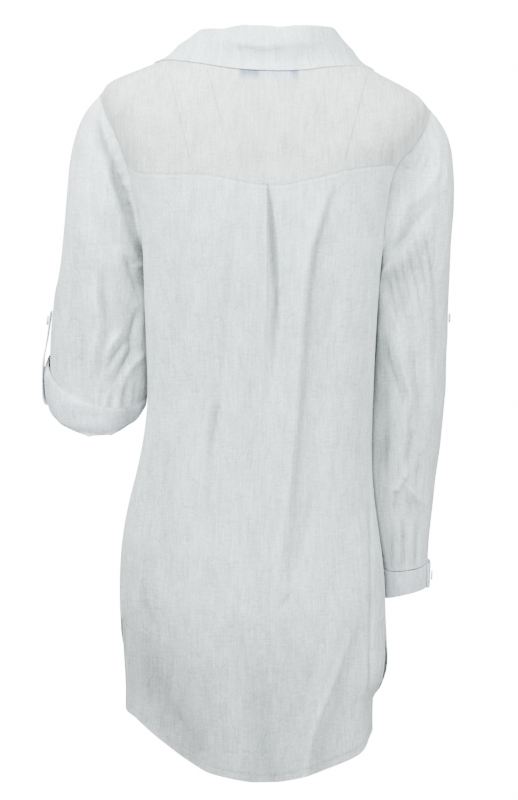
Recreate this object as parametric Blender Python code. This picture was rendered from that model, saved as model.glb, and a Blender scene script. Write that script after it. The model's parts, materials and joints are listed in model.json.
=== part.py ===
import math

import bpy
import numpy as np

# A long linen shirt, as it hangs when worn: +Z up, front to -Y, the wearer's left at +X.
# The origin lies between the two points where the neck meets the shoulders. Metres.

CLOTH = 0.0012          # one layer of linen with its seams
DOUBLE = 0.0016         # two layers: bands, collar, cuff
SEAM = 0.00035          # clear space between two pieces at a seam
SHARP_ANGLE = 32.0      # degrees
BAND_WIDTH = 0.030
BAND_LIFT = 0.0022      # how far the lapping band stands off the one below it
V_DEPTH = -0.230        # height at which the open fronts meet
V_SLOPE = 0.335         # how fast the open fronts spread, across over up
VENT_TOP = -0.655       # top of the side vents
BUTTON_RADIUS = 0.0055
BUTTON_THICK = 0.0026
BUTTON_HEIGHTS = (-0.262, -0.350, -0.438, -0.526, -0.614, -0.702)

LINEN = (0.80, 0.81, 0.82)
LINEN_DOUBLE = (0.81, 0.83, 0.87)
SHELL = (0.85, 0.85, 0.82)

# Rings round the trunk. A ring starts at the middle of the back and passes the left side,
# the front and the right side. left and right are half widths, back, side and front depths.
RING_COLUMNS = ("z_back", "z_side", "z_front", "left", "right", "back", "side", "front",
                "square", "lean")
RINGS = (
    (-0.018, 0.000, -0.140, 0.076, 0.076, 0.058, 0.000, -0.115, 2.0, 0.00),
    (-0.054, -0.029, -0.160, 0.132, 0.130, 0.082, -0.004, -0.117, 2.2, 0.04),
    (-0.106, -0.060, -0.180, 0.189, 0.189, 0.096, -0.008, -0.120, 2.5, 0.05),
    (-0.168, -0.146, -0.198, 0.160, 0.152, 0.102, -0.008, -0.123, 3.1, 0.05),
    (-0.204, -0.198, -0.214, 0.147, 0.138, 0.103, -0.005, -0.125, 3.2, 0.00),
    (-0.240, -0.240, -0.240, 0.1410, 0.1330, 0.102, 0.008, -0.126, 3.0, 0.00),
    (-0.300, -0.300, -0.300, 0.1385, 0.1275, 0.098, 0.020, -0.122, 2.7, 0.00),
    (-0.360, -0.360, -0.360, 0.1360, 0.1240, 0.093, 0.022, -0.118, 2.5, 0.00),
    (-0.420, -0.420, -0.420, 0.1352, 0.1218, 0.091, 0.018, -0.117, 2.4, 0.00),
    (-0.480, -0.480, -0.480, 0.1455, 0.1207, 0.093, 0.008, -0.120, 2.3, 0.00),
    (-0.540, -0.540, -0.540, 0.1620, 0.1262, 0.098, -0.006, -0.125, 2.2, 0.00),
    (-0.600, -0.600, -0.600, 0.1697, 0.1368, 0.104, -0.014, -0.129, 2.2, 0.00),
    (-0.660, -0.660, -0.660, 0.1690, 0.1385, 0.109, -0.016, -0.132, 2.3, 0.00),
    (-0.720, -0.720, -0.720, 0.1630, 0.1400, 0.112, -0.016, -0.134, 2.4, 0.00),
    (-0.780, -0.780, -0.780, 0.1615, 0.1350, 0.113, -0.016, -0.135, 2.5, 0.00),
    (-0.860, -0.860, -0.860, 0.1560, 0.1300, 0.113, -0.016, -0.136, 2.5, 0.00),
)
YOKE_RING = 3.0
PIT_RING = 5.0

# The armhole as it crosses the rings: a share of the quarter round, 1 at the side.
ARMHOLE_BACK = ((3.0, 0.800), (3.5, 0.800), (4.0, 0.815), (4.4, 0.850), (4.7, 0.895),
                (4.9, 0.945), (5.0, 1.000))
ARMHOLE_FRONT = ((2.36, 1.130), (2.8, 1.190), (3.3, 1.220), (3.9, 1.220), (4.4, 1.180),
                 (4.7, 1.130), (4.9, 1.065), (5.0, 1.000))
ARMHOLE_TOP = ((0.800, 3.00), (0.850, 2.66), (0.900, 2.38), (0.950, 2.18), (1.000, 2.06),
               (1.045, 2.08), (1.090, 2.18), (1.130, 2.36))
FRONT_SEAM = 1.130

# Where back and front meet below the arm, as a share of the quarter round.
SIDE_COLUMNS = ("z", "left", "right")
SIDE_SEAM = (
    (-0.240, 1.00, 1.00), (-0.420, 1.00, 1.00), (-0.480, 0.96, 1.00), (-0.540, 0.90, 0.97),
    (-0.600, 0.84, 0.86), (-0.660, 0.86, 0.80), (-0.720, 0.93, 0.77), (-0.780, 0.97, 0.84),
    (-0.860, 0.97, 0.84),
)
VENT_SPREAD = 0.12      # how far the front's vent edge stands off the back's at the tail

# Height of the tail, from the right side (-1) over the middle (0) to the left side (1).
TAIL_BACK = ((-1.00, -0.785), (-0.88, -0.791), (-0.70, -0.806), (-0.40, -0.821),
             (-0.08, -0.833), (0.07, -0.833), (0.30, -0.823), (0.45, -0.806),
             (0.51, -0.795), (0.64, -0.778), (0.76, -0.767), (1.00, -0.763))
TAIL_FRONT = ((-1.00, -0.692), (-0.86, -0.716), (-0.72, -0.748), (-0.60, -0.768),
              (-0.50, -0.790), (-0.25, -0.825), (0.00, -0.842), (0.26, -0.831),
              (0.43, -0.811), (0.57, -0.786), (0.68, -0.752), (0.87, -0.706),
              (1.00, -0.672))

# Folds of the back and the front: a line that runs down the cloth. Each row is a place on
# it: height, distance from the middle, reach to each side, and how far the cloth rises.
BACK_FOLDS = (
    # box pleat, as the hollow between its two edges
    ((-0.168, -0.001, 0.003, -0.001), (-0.200, -0.004, 0.005, -0.006),
     (-0.250, -0.007, 0.008, -0.010), (-0.310, -0.009, 0.011, -0.011),
     (-0.380, -0.004, 0.012, -0.007), (-0.450, 0.003, 0.012, -0.003),
     (-0.520, 0.005, 0.012, 0.000)),
    # raised edge to the left of the pleat
    ((-0.168, 0.010, 0.008, 0.001), (-0.240, 0.014, 0.012, 0.004),
     (-0.340, 0.017, 0.014, 0.004), (-0.440, 0.020, 0.018, 0.000)),
    # raised edge to the right of the pleat
    ((-0.168, -0.014, 0.008, 0.001), (-0.240, -0.024, 0.010, 0.003),
     (-0.320, -0.031, 0.012, 0.004), (-0.420, -0.030, 0.016, 0.000)),
    # second fold on the left, leaning outwards
    ((-0.170, 0.019, 0.008, 0.000), (-0.220, 0.029, 0.010, -0.005),
     (-0.300, 0.040, 0.014, -0.005), (-0.440, 0.058, 0.020, -0.003),
     (-0.560, 0.068, 0.025, 0.000)),
    # long fold on the right: crest, then the hollow beside it
    ((-0.168, -0.071, 0.010, 0.000), (-0.239, -0.050, 0.012, 0.005),
     (-0.340, -0.039, 0.014, 0.006), (-0.440, -0.031, 0.018, 0.005),
     (-0.560, -0.018, 0.022, 0.002), (-0.640, -0.010, 0.024, 0.000)),
    ((-0.168, -0.088, 0.012, 0.000), (-0.239, -0.070, 0.014, -0.006),
     (-0.340, -0.060, 0.018, -0.008), (-0.440, -0.054, 0.020, -0.007),
     (-0.560, -0.040, 0.024, -0.004), (-0.660, -0.030, 0.026, 0.000)),
    # slanting fold of the tail on the right
    ((-0.600, -0.100, 0.012, 0.000), (-0.660, -0.088, 0.016, 0.004),
     (-0.740, -0.062, 0.018, 0.006), (-0.830, -0.042, 0.020, 0.007)),
    ((-0.620, -0.122, 0.014, 0.000), (-0.700, -0.100, 0.018, -0.006),
     (-0.790, -0.080, 0.020, -0.006), (-0.830, -0.072, 0.020, -0.006)),
    # hollow inside the left side, over the vent
    ((-0.440, 0.122, 0.010, 0.000), (-0.520, 0.124, 0.012, -0.006),
     (-0.620, 0.116, 0.016, -0.007), (-0.720, 0.106, 0.020, -0.006),
     (-0.800, 0.094, 0.022, -0.004)),
    # slow waves of the tail
    ((-0.520, 0.010, 0.030, 0.000), (-0.640, 0.022, 0.034, 0.003),
     (-0.830, 0.034, 0.036, 0.008)),
    ((-0.480, -0.106, 0.014, 0.000), (-0.580, -0.112, 0.016, 0.004),
     (-0.700, -0.120, 0.016, 0.004), (-0.800, -0.118, 0.016, 0.003)),
)
FRONT_FOLDS = (
    ((-0.200, 0.105, 0.014, 0.000), (-0.280, 0.098, 0.018, -0.007),
     (-0.420, 0.090, 0.022, -0.008), (-0.600, 0.084, 0.026, -0.006),
     (-0.820, 0.080, 0.030, -0.005)),
    ((-0.150, 0.070, 0.014, 0.000), (-0.260, 0.066, 0.018, 0.006),
     (-0.420, 0.060, 0.020, 0.006), (-0.620, 0.054, 0.024, 0.003),
     (-0.820, 0.050, 0.028, 0.006)),
    ((-0.500, 0.128, 0.014, 0.000), (-0.580, 0.130, 0.018, 0.006),
     (-0.700, 0.126, 0.020, 0.005), (-0.820, 0.120, 0.020, 0.000)),
    ((-0.180, -0.100, 0.014, 0.000), (-0.280, -0.092, 0.018, -0.006),
     (-0.420, -0.082, 0.020, -0.007), (-0.620, -0.078, 0.024, -0.005),
     (-0.820, -0.082, 0.028, -0.006)),
    ((-0.220, -0.056, 0.014, 0.000), (-0.340, -0.052, 0.018, 0.005),
     (-0.520, -0.046, 0.020, 0.004), (-0.820, -0.040, 0.026, 0.005)),
)

# Sections of the sleeves below the arm, each seen from above, in the sleeve's own side:
# across is distance from the middle of the shirt. drop is how much lower the back lies
# than the middle, rise how much higher the outside.
SLEEVE_COLUMNS = ("z", "inner", "outer", "front", "back", "drop", "rise")
SLEEVE_LEFT = (
    (-0.262, 0.1422, 0.2390, -0.074, 0.046, 0.000, 0.000),
    (-0.295, 0.1385, 0.2455, -0.084, 0.040, 0.006, 0.003),
    (-0.328, 0.1372, 0.2492, -0.090, 0.034, 0.016, 0.007),
    (-0.356, 0.1400, 0.2500, -0.094, 0.030, 0.027, 0.012),
    (-0.380, 0.1425, 0.2508, -0.096, 0.028, 0.035, 0.0165),
    (-0.4065, 0.1440, 0.2512, -0.097, 0.027, 0.044, 0.003),
)
SLEEVE_RIGHT = (
    (-0.262, 0.1345, 0.2122, -0.070, 0.042, 0.000, 0.000),
    (-0.300, 0.1278, 0.2115, -0.080, 0.036, 0.000, 0.000),
    (-0.350, 0.1245, 0.2100, -0.086, 0.030, 0.002, 0.000),
    (-0.400, 0.1225, 0.2082, -0.088, 0.026, 0.004, 0.000),
    (-0.450, 0.1198, 0.2045, -0.088, 0.020, 0.006, 0.002),
    (-0.500, 0.1195, 0.1980, -0.088, 0.012, 0.008, 0.003),
    (-0.550, 0.1272, 0.1925, -0.086, 0.004, 0.008, 0.004),
    (-0.599, 0.1362, 0.1890, -0.084, -0.004, 0.006, 0.004),
)
CUFF_RIGHT = (
    (-0.6000, 0.1357, 0.1897, -0.0848, -0.0032, 0.006, 0.004),
    (-0.6165, 0.1364, 0.1898, -0.0852, -0.0028, 0.004, 0.005),
    (-0.6320, 0.1370, 0.1888, -0.0845, -0.0035, 0.001, 0.007),
)
SLEEVE_SQUARE = 2.2
ROW_STEP = 0.5
CAP_ROWS = 7            # rows between the armhole and the first section below the arm
# Folds of a sleeve: turn round the sleeve in degrees (0 outside, 90 back, 180 inside),
# row as a share of the way from the armhole (0) over the first section (1) downwards.
# Each row is a place on a fold: row, turn, reach in degrees, and how far the cloth rises.
SLEEVE_FOLDS_LEFT = (
    ((0.00, 96, 40, 0.000), (0.20, 100, 34, -0.010), (0.50, 118, 30, -0.011),
     (0.85, 140, 26, -0.006), (1.10, 150, 22, 0.000)),
    ((0.80, 150, 18, 0.000), (1.15, 156, 20, -0.010), (1.60, 165, 18, -0.006),
     (2.40, 168, 18, 0.000)),
    ((2.00, 96, 12, 0.000), (3.00, 112, 12, 0.003), (4.00, 120, 12, 0.000)),
)
SLEEVE_FOLDS_RIGHT = (
    ((0.00, 100, 40, 0.000), (0.25, 104, 30, -0.012), (0.50, 122, 26, -0.012),
     (0.85, 146, 22, -0.004), (1.10, 160, 20, 0.000)),
    ((0.15, 40, 16, 0.000), (0.40, 62, 18, 0.006), (0.65, 92, 18, 0.010),
     (0.90, 124, 18, 0.009), (1.30, 150, 16, 0.004), (1.80, 160, 16, 0.000)),
    ((0.60, 60, 18, 0.000), (0.90, 84, 20, -0.006), (1.30, 104, 20, -0.007),
     (2.20, 112, 20, -0.004), (3.40, 118, 20, 0.000)),
    ((1.60, 150, 16, 0.000), (2.60, 132, 16, 0.004), (4.00, 118, 16, 0.003),
     (5.20, 110, 16, 0.000)),
    ((4.20, 96, 16, 0.000), (5.20, 100, 16, -0.004), (6.20, 108, 16, -0.003),
     (7.00, 112, 16, 0.000)),
)

ROLL_ROWS = (4.0, 4.12, 4.45, 4.8, 5.0)       # rows of the left sleeve under the roll
ROLL_OUT = (0.0030, 0.0058, 0.0066, 0.0058, 0.0030)
ROLL_CLEAR = 0.0008
LEFT_END = 4.92         # row at which the left sleeve's cloth turns up into the roll
CUFF_LAP = (-12.0, 32.0)    # turns between which the cuff's end lies on its start
CUFF_LIFT = 0.0022
TAB_WIDTH = 0.022
TAB_THICK = 0.0015
LABEL_THICK = 0.001


def column(table, columns, name):
    """One named column of a table, as an array."""
    return np.array([row[columns.index(name)] for row in table], float)


def spline(values, place):
    """A smooth curve through equally spaced values, read at a place along them."""
    values = np.asarray(values, float)
    place = min(max(place, 0.0), len(values) - 1.0)
    start = min(int(place), len(values) - 2)
    part = place - start
    before = values[max(start - 1, 0)]
    first, second = values[start], values[start + 1]
    after = values[min(start + 2, len(values) - 1)]
    rise_first = (second - before) / 2
    rise_second = (after - first) / 2
    square, cube = part * part, part * part * part
    return ((2 * cube - 3 * square + 1) * first + (cube - 2 * square + part) * rise_first
            + (3 * square - 2 * cube) * second + (cube - square) * rise_second)


def reading(table, at, key=0, value=1):
    """A value read between the rows of a table, in order of its key."""
    rows = sorted(table, key=lambda row: row[key])
    return float(np.interp(at, [row[key] for row in rows], [row[value] for row in rows]))


def unit(vector):
    length = np.linalg.norm(vector)
    return vector / length if length > 1e-12 else vector


RING_VALUES = {name: column(RINGS, RING_COLUMNS, name) for name in RING_COLUMNS}
QUARTER_STEPS = 160


def quarter(width, depth, square, share):
    """The point at a share of a quarter's length, from its middle (0, depth) to its side."""
    turn = np.linspace(0, math.pi / 2, QUARTER_STEPS)
    across = width * np.sin(turn) ** (2 / square)
    along = depth * np.cos(turn) ** (2 / square)
    length = np.concatenate([[0], np.cumsum(np.hypot(np.diff(across), np.diff(along)))])
    at = share * length[-1]
    return (float(np.interp(at, length, across)), float(np.interp(at, length, along)),
            float(np.interp(at, length, turn)))


def trunk(around, ring):
    """The smooth trunk. around runs from 0 (back) to 1 (left side) and 2 (front), and
    from 0 to -1 (right side) and -2 (front). ring counts down from the neck."""
    value = {name: spline(values, ring) for name, values in RING_VALUES.items()}
    for name in ("z_back", "z_side", "z_front"):
        value[name] = float(np.interp(ring, range(len(RINGS)), RING_VALUES[name]))
    hand = 1 if around >= 0 else -1
    turn = abs(around)
    width = value["left"] if hand > 0 else value["right"]
    if turn <= 1:
        across, along, angle = quarter(width, value["back"] - value["side"],
                                       value["square"], turn)
        end = value["z_back"]
        deep = value["side"] + along
    else:
        across, along, angle = quarter(width, value["side"] - value["front"],
                                       value["square"], 2 - turn)
        end = value["z_front"]
        deep = value["side"] - along
    height = value["z_side"] + (end - value["z_side"]) * math.cos(angle) ** 2
    return np.array([hand * across, deep, height + value["lean"] * hand * across])


def fold_rise(folds, x, z):
    """How far the folds lift the cloth at a place."""
    total = 0.0
    for fold in folds:
        rows = sorted(fold, key=lambda row: row[0])
        heights = [row[0] for row in rows]
        if heights[0] - 0.02 < z < heights[-1] + 0.001:
            centre, reach, rise = (float(np.interp(z, heights, [row[k] for row in rows]))
                                   for k in (1, 2, 3))
            total += rise * math.exp(-((x - centre) / reach) ** 2)
    return total


def fade(around, edge, width):
    """0 at an edge of a piece, 1 from a width inside it."""
    return min(max((edge - abs(around)) / width, 0.0), 1.0)


def cloth(around, ring):
    """The trunk with its folds."""
    point = trunk(around, ring)
    step = 0.004
    side = trunk(around + step, ring) - trunk(around - step, ring)
    down = trunk(around, ring + step * 4) - trunk(around, max(ring - step * 4, 0))
    out = unit(np.cross(side, down))
    if abs(around) < 1:
        rise = fold_rise(BACK_FOLDS, point[0], point[2]) * fade(around, 0.97, 0.12)
    else:
        rise = fold_rise(FRONT_FOLDS, point[0], point[2])
        rise *= min((abs(around) - 1.0) / 0.15, 1.0) * min(abs(abs(around) - 2) / 0.1, 1.0)
    return point + out * rise


def outward(around, ring):
    """Direction out of the cloth."""
    step = 0.006
    side = cloth(around + step, ring) - cloth(around - step, ring)
    down = cloth(around, ring + step * 5) - cloth(around, max(ring - step * 5, 0))
    return unit(np.cross(side, down))


def ring_at(height):
    """The ring that lies at a height, below the arms."""
    heights = RING_VALUES["z_side"][int(PIT_RING):]
    return PIT_RING + float(np.interp(-height, -heights, range(len(heights))))


def side_seam(height, hand):
    name = "left" if hand > 0 else "right"
    return reading(SIDE_SEAM, height, 0, SIDE_COLUMNS.index(name))


def front_side(height, hand):
    """The front's side edge, which leaves the back's below the vent's top."""
    open_share = min(max((VENT_TOP - height) / 0.12, 0.0), 1.0)
    return side_seam(height, hand) + VENT_SPREAD * open_share


def edge_across(height):
    """Distance of a front's free edge from the middle, towards the front's own side."""
    return max(-BAND_WIDTH / 2, V_SLOPE * (height - V_DEPTH))


def free_edge(ring, hand):
    """Place round the ring of a front's free edge."""
    low, high = 1.0, 2.3
    for _ in range(26):
        middle = (low + high) / 2
        point = trunk(place(middle, hand), ring)
        if point[0] * hand > edge_across(point[2]):
            low = middle
        else:
            high = middle
    return (low + high) / 2


def band_seam(ring, hand):
    """Place round the ring of the seam between a front and its band."""
    edge = free_edge(ring, hand)
    end = trunk(place(edge, hand), ring)
    low, high = FRONT_SEAM, edge
    for _ in range(26):
        middle = (low + high) / 2
        if np.linalg.norm(trunk(place(middle, hand), ring) - end) > BAND_WIDTH:
            low = middle
        else:
            high = middle
    return (low + high) / 2


def place(around, hand):
    """A place round the trunk on a hand's side, past the middle of the front if need be."""
    around = around if around <= 2 else around - 4
    return around * hand


def build(name, points, faces, colour, roughness=0.9):
    """One closed solid with its own material."""
    mesh = bpy.data.meshes.new(name)
    mesh.from_pydata([tuple(p) for p in points], [], faces)
    mesh.validate()
    mesh.shade_smooth()
    mesh.set_sharp_from_angle(angle=math.radians(SHARP_ANGLE))
    material = bpy.data.materials.new(name)
    material.use_nodes = True
    shader = material.node_tree.nodes["Principled BSDF"]
    shader.inputs["Base Color"].default_value = (*colour, 1)
    shader.inputs["Roughness"].default_value = roughness
    shader.inputs["Metallic"].default_value = 0.0
    mesh.materials.append(material)
    item = bpy.data.objects.new(name, mesh)
    bpy.context.scene.collection.objects.link(item)
    return item


def grid_normals(grid, closed):
    """Outward direction at each point of a grid of rows down and columns along."""
    down = np.gradient(grid, axis=0)
    if closed:
        along = np.roll(grid, -1, axis=1) - np.roll(grid, 1, axis=1)
    else:
        along = np.gradient(grid, axis=1)
    normal = np.cross(along, down)
    size = np.linalg.norm(normal, axis=2, keepdims=True)
    return normal / np.maximum(size, 1e-12)


def wall(name, outer, inner, closed, colour):
    """A closed wall between an outer and an inner grid of points."""
    rows, columns = outer.shape[:2]
    points = list(outer.reshape(-1, 3)) + list(inner.reshape(-1, 3))
    count = rows * columns
    faces = []

    def corner(row, col, layer):
        return layer * count + row * columns + col % columns

    last = columns if closed else columns - 1
    for row in range(rows - 1):
        for col in range(last):
            a, b = corner(row, col, 0), corner(row, col + 1, 0)
            c, d = corner(row + 1, col + 1, 0), corner(row + 1, col, 0)
            faces.append((a, b, c, d))
            faces.append((a + count, d + count, c + count, b + count))
    for col in range(last):
        a, b = corner(0, col, 0), corner(0, col + 1, 0)
        faces.append((b, a, a + count, b + count))
        a, b = corner(rows - 1, col, 0), corner(rows - 1, col + 1, 0)
        faces.append((a, b, b + count, a + count))
    if not closed:
        for row in range(rows - 1):
            a, b = corner(row, 0, 0), corner(row + 1, 0, 0)
            faces.append((a, b, b + count, a + count))
            a, b = corner(row, columns - 1, 0), corner(row + 1, columns - 1, 0)
            faces.append((b, a, a + count, b + count))
    return build(name, points, faces, colour)


def drawn_in(grid, top=0.0, bottom=0.0, first=0.0, last=0.0):
    """The grid with its edges drawn in by small distances, to leave room at seams."""
    result = grid.copy()
    if top:
        result[0] += (grid[1] - grid[0]) / np.linalg.norm(grid[1] - grid[0], axis=1)[:, None] * top
    if bottom:
        step = grid[-2] - grid[-1]
        result[-1] += step / np.linalg.norm(step, axis=1)[:, None] * bottom
    if first:
        step = grid[:, 1] - grid[:, 0]
        result[:, 0] += step / np.linalg.norm(step, axis=1)[:, None] * first
    if last:
        step = grid[:, -2] - grid[:, -1]
        result[:, -1] += step / np.linalg.norm(step, axis=1)[:, None] * last
    return result


# Places across the back, closer together at the pleat and the fold beside it.
BACK_ACROSS = (-1.0, -0.93, -0.86, -0.78, -0.70, -0.62, -0.55, -0.48, -0.42, -0.36, -0.305,
               -0.255, -0.21, -0.17, -0.135, -0.105, -0.078, -0.052, -0.026, 0.0, 0.026,
               0.055, 0.09, 0.13, 0.18, 0.235, 0.295, 0.36, 0.43, 0.50, 0.57, 0.64, 0.71,
               0.78, 0.85, 0.92, 1.0)
PIT_ROWS = tuple(ring for ring, _ in ARMHOLE_BACK)
FRONT_PIT_ROWS = tuple(ring for ring, _ in ARMHOLE_FRONT)
NECK_ROWS = (0.0, 0.4, 0.8, 1.2, 1.6, 2.0)
BODY_ROWS = 10          # rows from the arm to the vent's top
TAIL_ROWS = 4           # rows from there to the tail
FRONT_COLUMNS = 11


def row_height(step, tail):
    """Height of a row below the arm: level down to the vent, then spread to the tail."""
    pit = RINGS[int(PIT_RING)][0]
    if step <= BODY_ROWS:
        return pit + (VENT_TOP - pit) * step / BODY_ROWS
    return VENT_TOP + (tail - VENT_TOP) * (step - BODY_ROWS) / TAIL_ROWS


def back_panel_places():
    """Rows of places of the back panel, from the yoke's seam to the tail."""
    rows = []
    for ring in PIT_ROWS:
        edge = reading(ARMHOLE_BACK, ring)
        rows.append([(share * edge, ring) for share in BACK_ACROSS])
    for step in range(1, BODY_ROWS + TAIL_ROWS + 1):
        row = []
        for share in BACK_ACROSS:
            height = row_height(step, reading(TAIL_BACK, share))
            edge = side_seam(height, share)
            row.append((share * edge, ring_at(height)))
        rows.append(row)
    return rows


def front_places(hand):
    """Rows of places of a front, from the neck to the tail, and from its side edge to
    the band's seam."""
    rows = []
    for ring in NECK_ROWS + FRONT_PIT_ROWS:
        outer = FRONT_SEAM if ring <= FRONT_PIT_ROWS[0] else reading(ARMHOLE_FRONT, ring)
        inner = band_seam(ring, hand)
        rows.append([(outer + (inner - outer) * k / (FRONT_COLUMNS - 1), ring)
                     for k in range(FRONT_COLUMNS)])
    for step in range(1, BODY_ROWS + TAIL_ROWS + 1):
        row = []
        for k in range(FRONT_COLUMNS):
            share = 1 - k / (FRONT_COLUMNS - 1)
            height = row_height(step, reading(TAIL_FRONT, (0.08 + 0.92 * share) * hand))
            ring = ring_at(height)
            outer = front_side(height, hand)
            inner = band_seam(ring, hand)
            row.append((outer + (inner - outer) * (1 - share), ring))
        rows.append(row)
    return rows


def yoke_places():
    """Columns of places of the yoke, from the left front seam round the back."""
    half = [(around, ring) for around, ring in reversed(ARMHOLE_TOP)]
    left = half[:-1]
    back = [(share * ARMHOLE_BACK[0][1], YOKE_RING) for share in reversed(BACK_ACROSS)]
    right = [(-around, ring) for around, ring in ARMHOLE_TOP[1:]]
    return left + back + right


YOKE_ROWS = 7
YOKE_BOTTOM = yoke_places()


def armhole_places(hand):
    """The armhole's loop: from the shoulder's top over the back to the pit, and on over
    the front."""
    top = [(around, ring) for around, ring in ARMHOLE_TOP]
    over_back = [place_ for place_ in reversed(top) if place_[0] <= 1.0]
    back = [(around, ring) for ring, around in ARMHOLE_BACK[1:]]
    front = [(around, ring) for ring, around in reversed(ARMHOLE_FRONT[:-1])]
    over_front = [place_ for place_ in reversed(top) if 1.0 < place_[0] < FRONT_SEAM]
    loop = over_back + back + front + over_front
    return [(around * hand, ring) for around, ring in loop], len(over_back) + len(back) - 1


def section(row, turn, table, hand):
    """A point of a sleeve's section at a turn."""
    value = {name: spline(column(table, SLEEVE_COLUMNS, name), row)
             for name in SLEEVE_COLUMNS}
    middle = (value["inner"] + value["outer"]) / 2
    half = (value["outer"] - value["inner"]) / 2
    centre = (value["front"] + value["back"]) / 2
    deep = (value["back"] - value["front"]) / 2
    cosine, sine = math.cos(turn), math.sin(turn)
    power = 2 / SLEEVE_SQUARE
    across = middle + half * math.copysign(abs(cosine) ** power, cosine)
    along = centre + deep * math.copysign(abs(sine) ** power, sine)
    height = value["z"] - value["drop"] * sine + value["rise"] * cosine
    return np.array([hand * across, along, height])


def sleeve_rise(folds, row, turn):
    """How far a sleeve's folds lift it at a row and a turn in degrees."""
    total = 0.0
    for fold in folds:
        rows = [line[0] for line in fold]
        if rows[0] <= row <= rows[-1]:
            centre, reach, rise = (float(np.interp(row, rows, [line[k] for line in fold]))
                                   for k in (1, 2, 3))
            away = (turn - centre + 180) % 360 - 180
            total += rise * math.exp(-(away / reach) ** 2)
    return total


def sleeve_grid(table, folds, hand, end_row):
    """Points of a sleeve from the armhole down to a row, and the turn of each column."""
    places, pit = armhole_places(hand)
    loop = np.array([cloth(around, ring) for around, ring in places])
    loop[:, 0] += hand * SEAM
    count = len(loop)
    steps = np.linalg.norm(np.roll(loop, -1, axis=0) - loop, axis=1)
    length = np.concatenate([[0], np.cumsum(steps)])
    turns = []
    for k in range(count):
        if k <= pit:
            turns.append(math.pi * length[k] / length[pit])
        else:
            turns.append(math.pi + math.pi * (length[k] - length[pit])
                         / (length[-1] - length[pit]))
    rows, marks = [loop], [0.0]
    for step in range(1, CAP_ROWS):
        part = step / CAP_ROWS
        row = []
        for k, turn in enumerate(turns):
            start, end = loop[k], section(0, turn, table, hand)
            later = section(0.5, turn, table, hand)
            span = np.linalg.norm(end - start)
            top = max(math.cos(turn), 0.0)
            back = math.sin(turn)
            leave = unit(np.array([hand, 0.25 * back, -0.30 - 0.20 * top]))
            arrive = unit(later - end)
            square, cube = part * part, part ** 3
            row.append((2 * cube - 3 * square + 1) * start + (3 * square - 2 * cube) * end
                       + (cube - 2 * square + part) * leave * span * 0.78
                       + (cube - square) * arrive * span * 0.9)
        rows.append(np.array(row))
        marks.append(part)
    for at in [k * ROW_STEP for k in range(int(end_row / ROW_STEP))] + [end_row]:
        rows.append(np.array([section(at, turn, table, hand) for turn in turns]))
        marks.append(1 + at)
    grid = np.array(rows)
    grid = grid if hand < 0 else grid[:, ::-1]
    turns = turns if hand < 0 else turns[::-1]
    normals = grid_normals(grid, True)
    for r, mark in enumerate(marks):
        for c, turn in enumerate(turns):
            grid[r, c] += normals[r, c] * sleeve_rise(folds, mark, math.degrees(turn))
    return grid, turns


def key(around, ring):
    """A place round the trunk as the key of a table."""
    return round(around, 4), round(ring, 4)


def armhole_outward(hand, grid):
    """The direction out of the seam where trunk and sleeve meet, for each loop place."""
    places, _ = armhole_places(hand)
    normals = grid_normals(grid, True)[0]
    normals = normals if hand < 0 else normals[::-1]
    shared = {}
    for (around, ring), sleeve in zip(places, normals):
        trunk_out = outward(around, ring)
        shared[key(around, ring)] = unit(trunk_out + sleeve + np.array([0, 0, -0.08]))
    return shared


def panel_normals(places, shared):
    """Outward directions of a panel's places, shared with the sleeves at the armholes."""
    return np.array([[shared[key(*spot)] if key(*spot) in shared else outward(*spot)
                      for spot in row] for row in places])


def make_trunk(shared):
    """Yoke, back and fronts."""
    places = [[(around, ring * row / (YOKE_ROWS - 1)) for around, ring in YOKE_BOTTOM]
              for row in range(YOKE_ROWS)]
    points = np.array([[cloth(*spot) for spot in row] for row in places])
    normals = panel_normals(places, shared)
    seam = SEAM / 2
    outer = drawn_in(points, 0, 0, seam, seam)
    back_columns = [k for k, (around, _) in enumerate(YOKE_BOTTOM)
                    if abs(around) <= ARMHOLE_BACK[0][1] + 1e-6]
    pulled = drawn_in(outer, 0, seam)
    outer[-1, back_columns] = pulled[-1, back_columns]
    outer, normals = outer[:, ::-1], normals[:, ::-1]
    wall("back_yoke", outer, outer - normals * CLOTH, False, LINEN)

    places = back_panel_places()
    points = np.array([[cloth(*spot) for spot in row] for row in places])
    normals = panel_normals(places, shared)
    outer = drawn_in(points, seam)
    below = len(PIT_ROWS) - 1
    sides = drawn_in(points, 0, 0, seam, seam)
    outer[below:, 0] = sides[below:, 0]
    outer[below:, -1] = sides[below:, -1]
    wall("back_panel", outer, outer - normals * CLOTH, False, LINEN)

    for hand, side in ((1, "left"), (-1, "right")):
        places = [[(place(around, hand), ring) for around, ring in row]
                  for row in front_places(hand)]
        points = np.array([[cloth(*spot) for spot in row] for row in places])
        normals = panel_normals(places, shared)
        sides = drawn_in(points, 0, 0, seam, SEAM)
        outer = points.copy()
        outer[:, -1] = sides[:, -1]
        top = len(NECK_ROWS)
        pit = len(NECK_ROWS) + len(FRONT_PIT_ROWS) - 1
        outer[:top + 1, 0] = sides[:top + 1, 0]
        outer[pit:, 0] = sides[pit:, 0]
        if hand < 0:
            outer, normals = outer[:, ::-1], normals[:, ::-1]
        wall("front_" + side, outer, outer - normals * CLOTH, False, LINEN)


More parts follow.
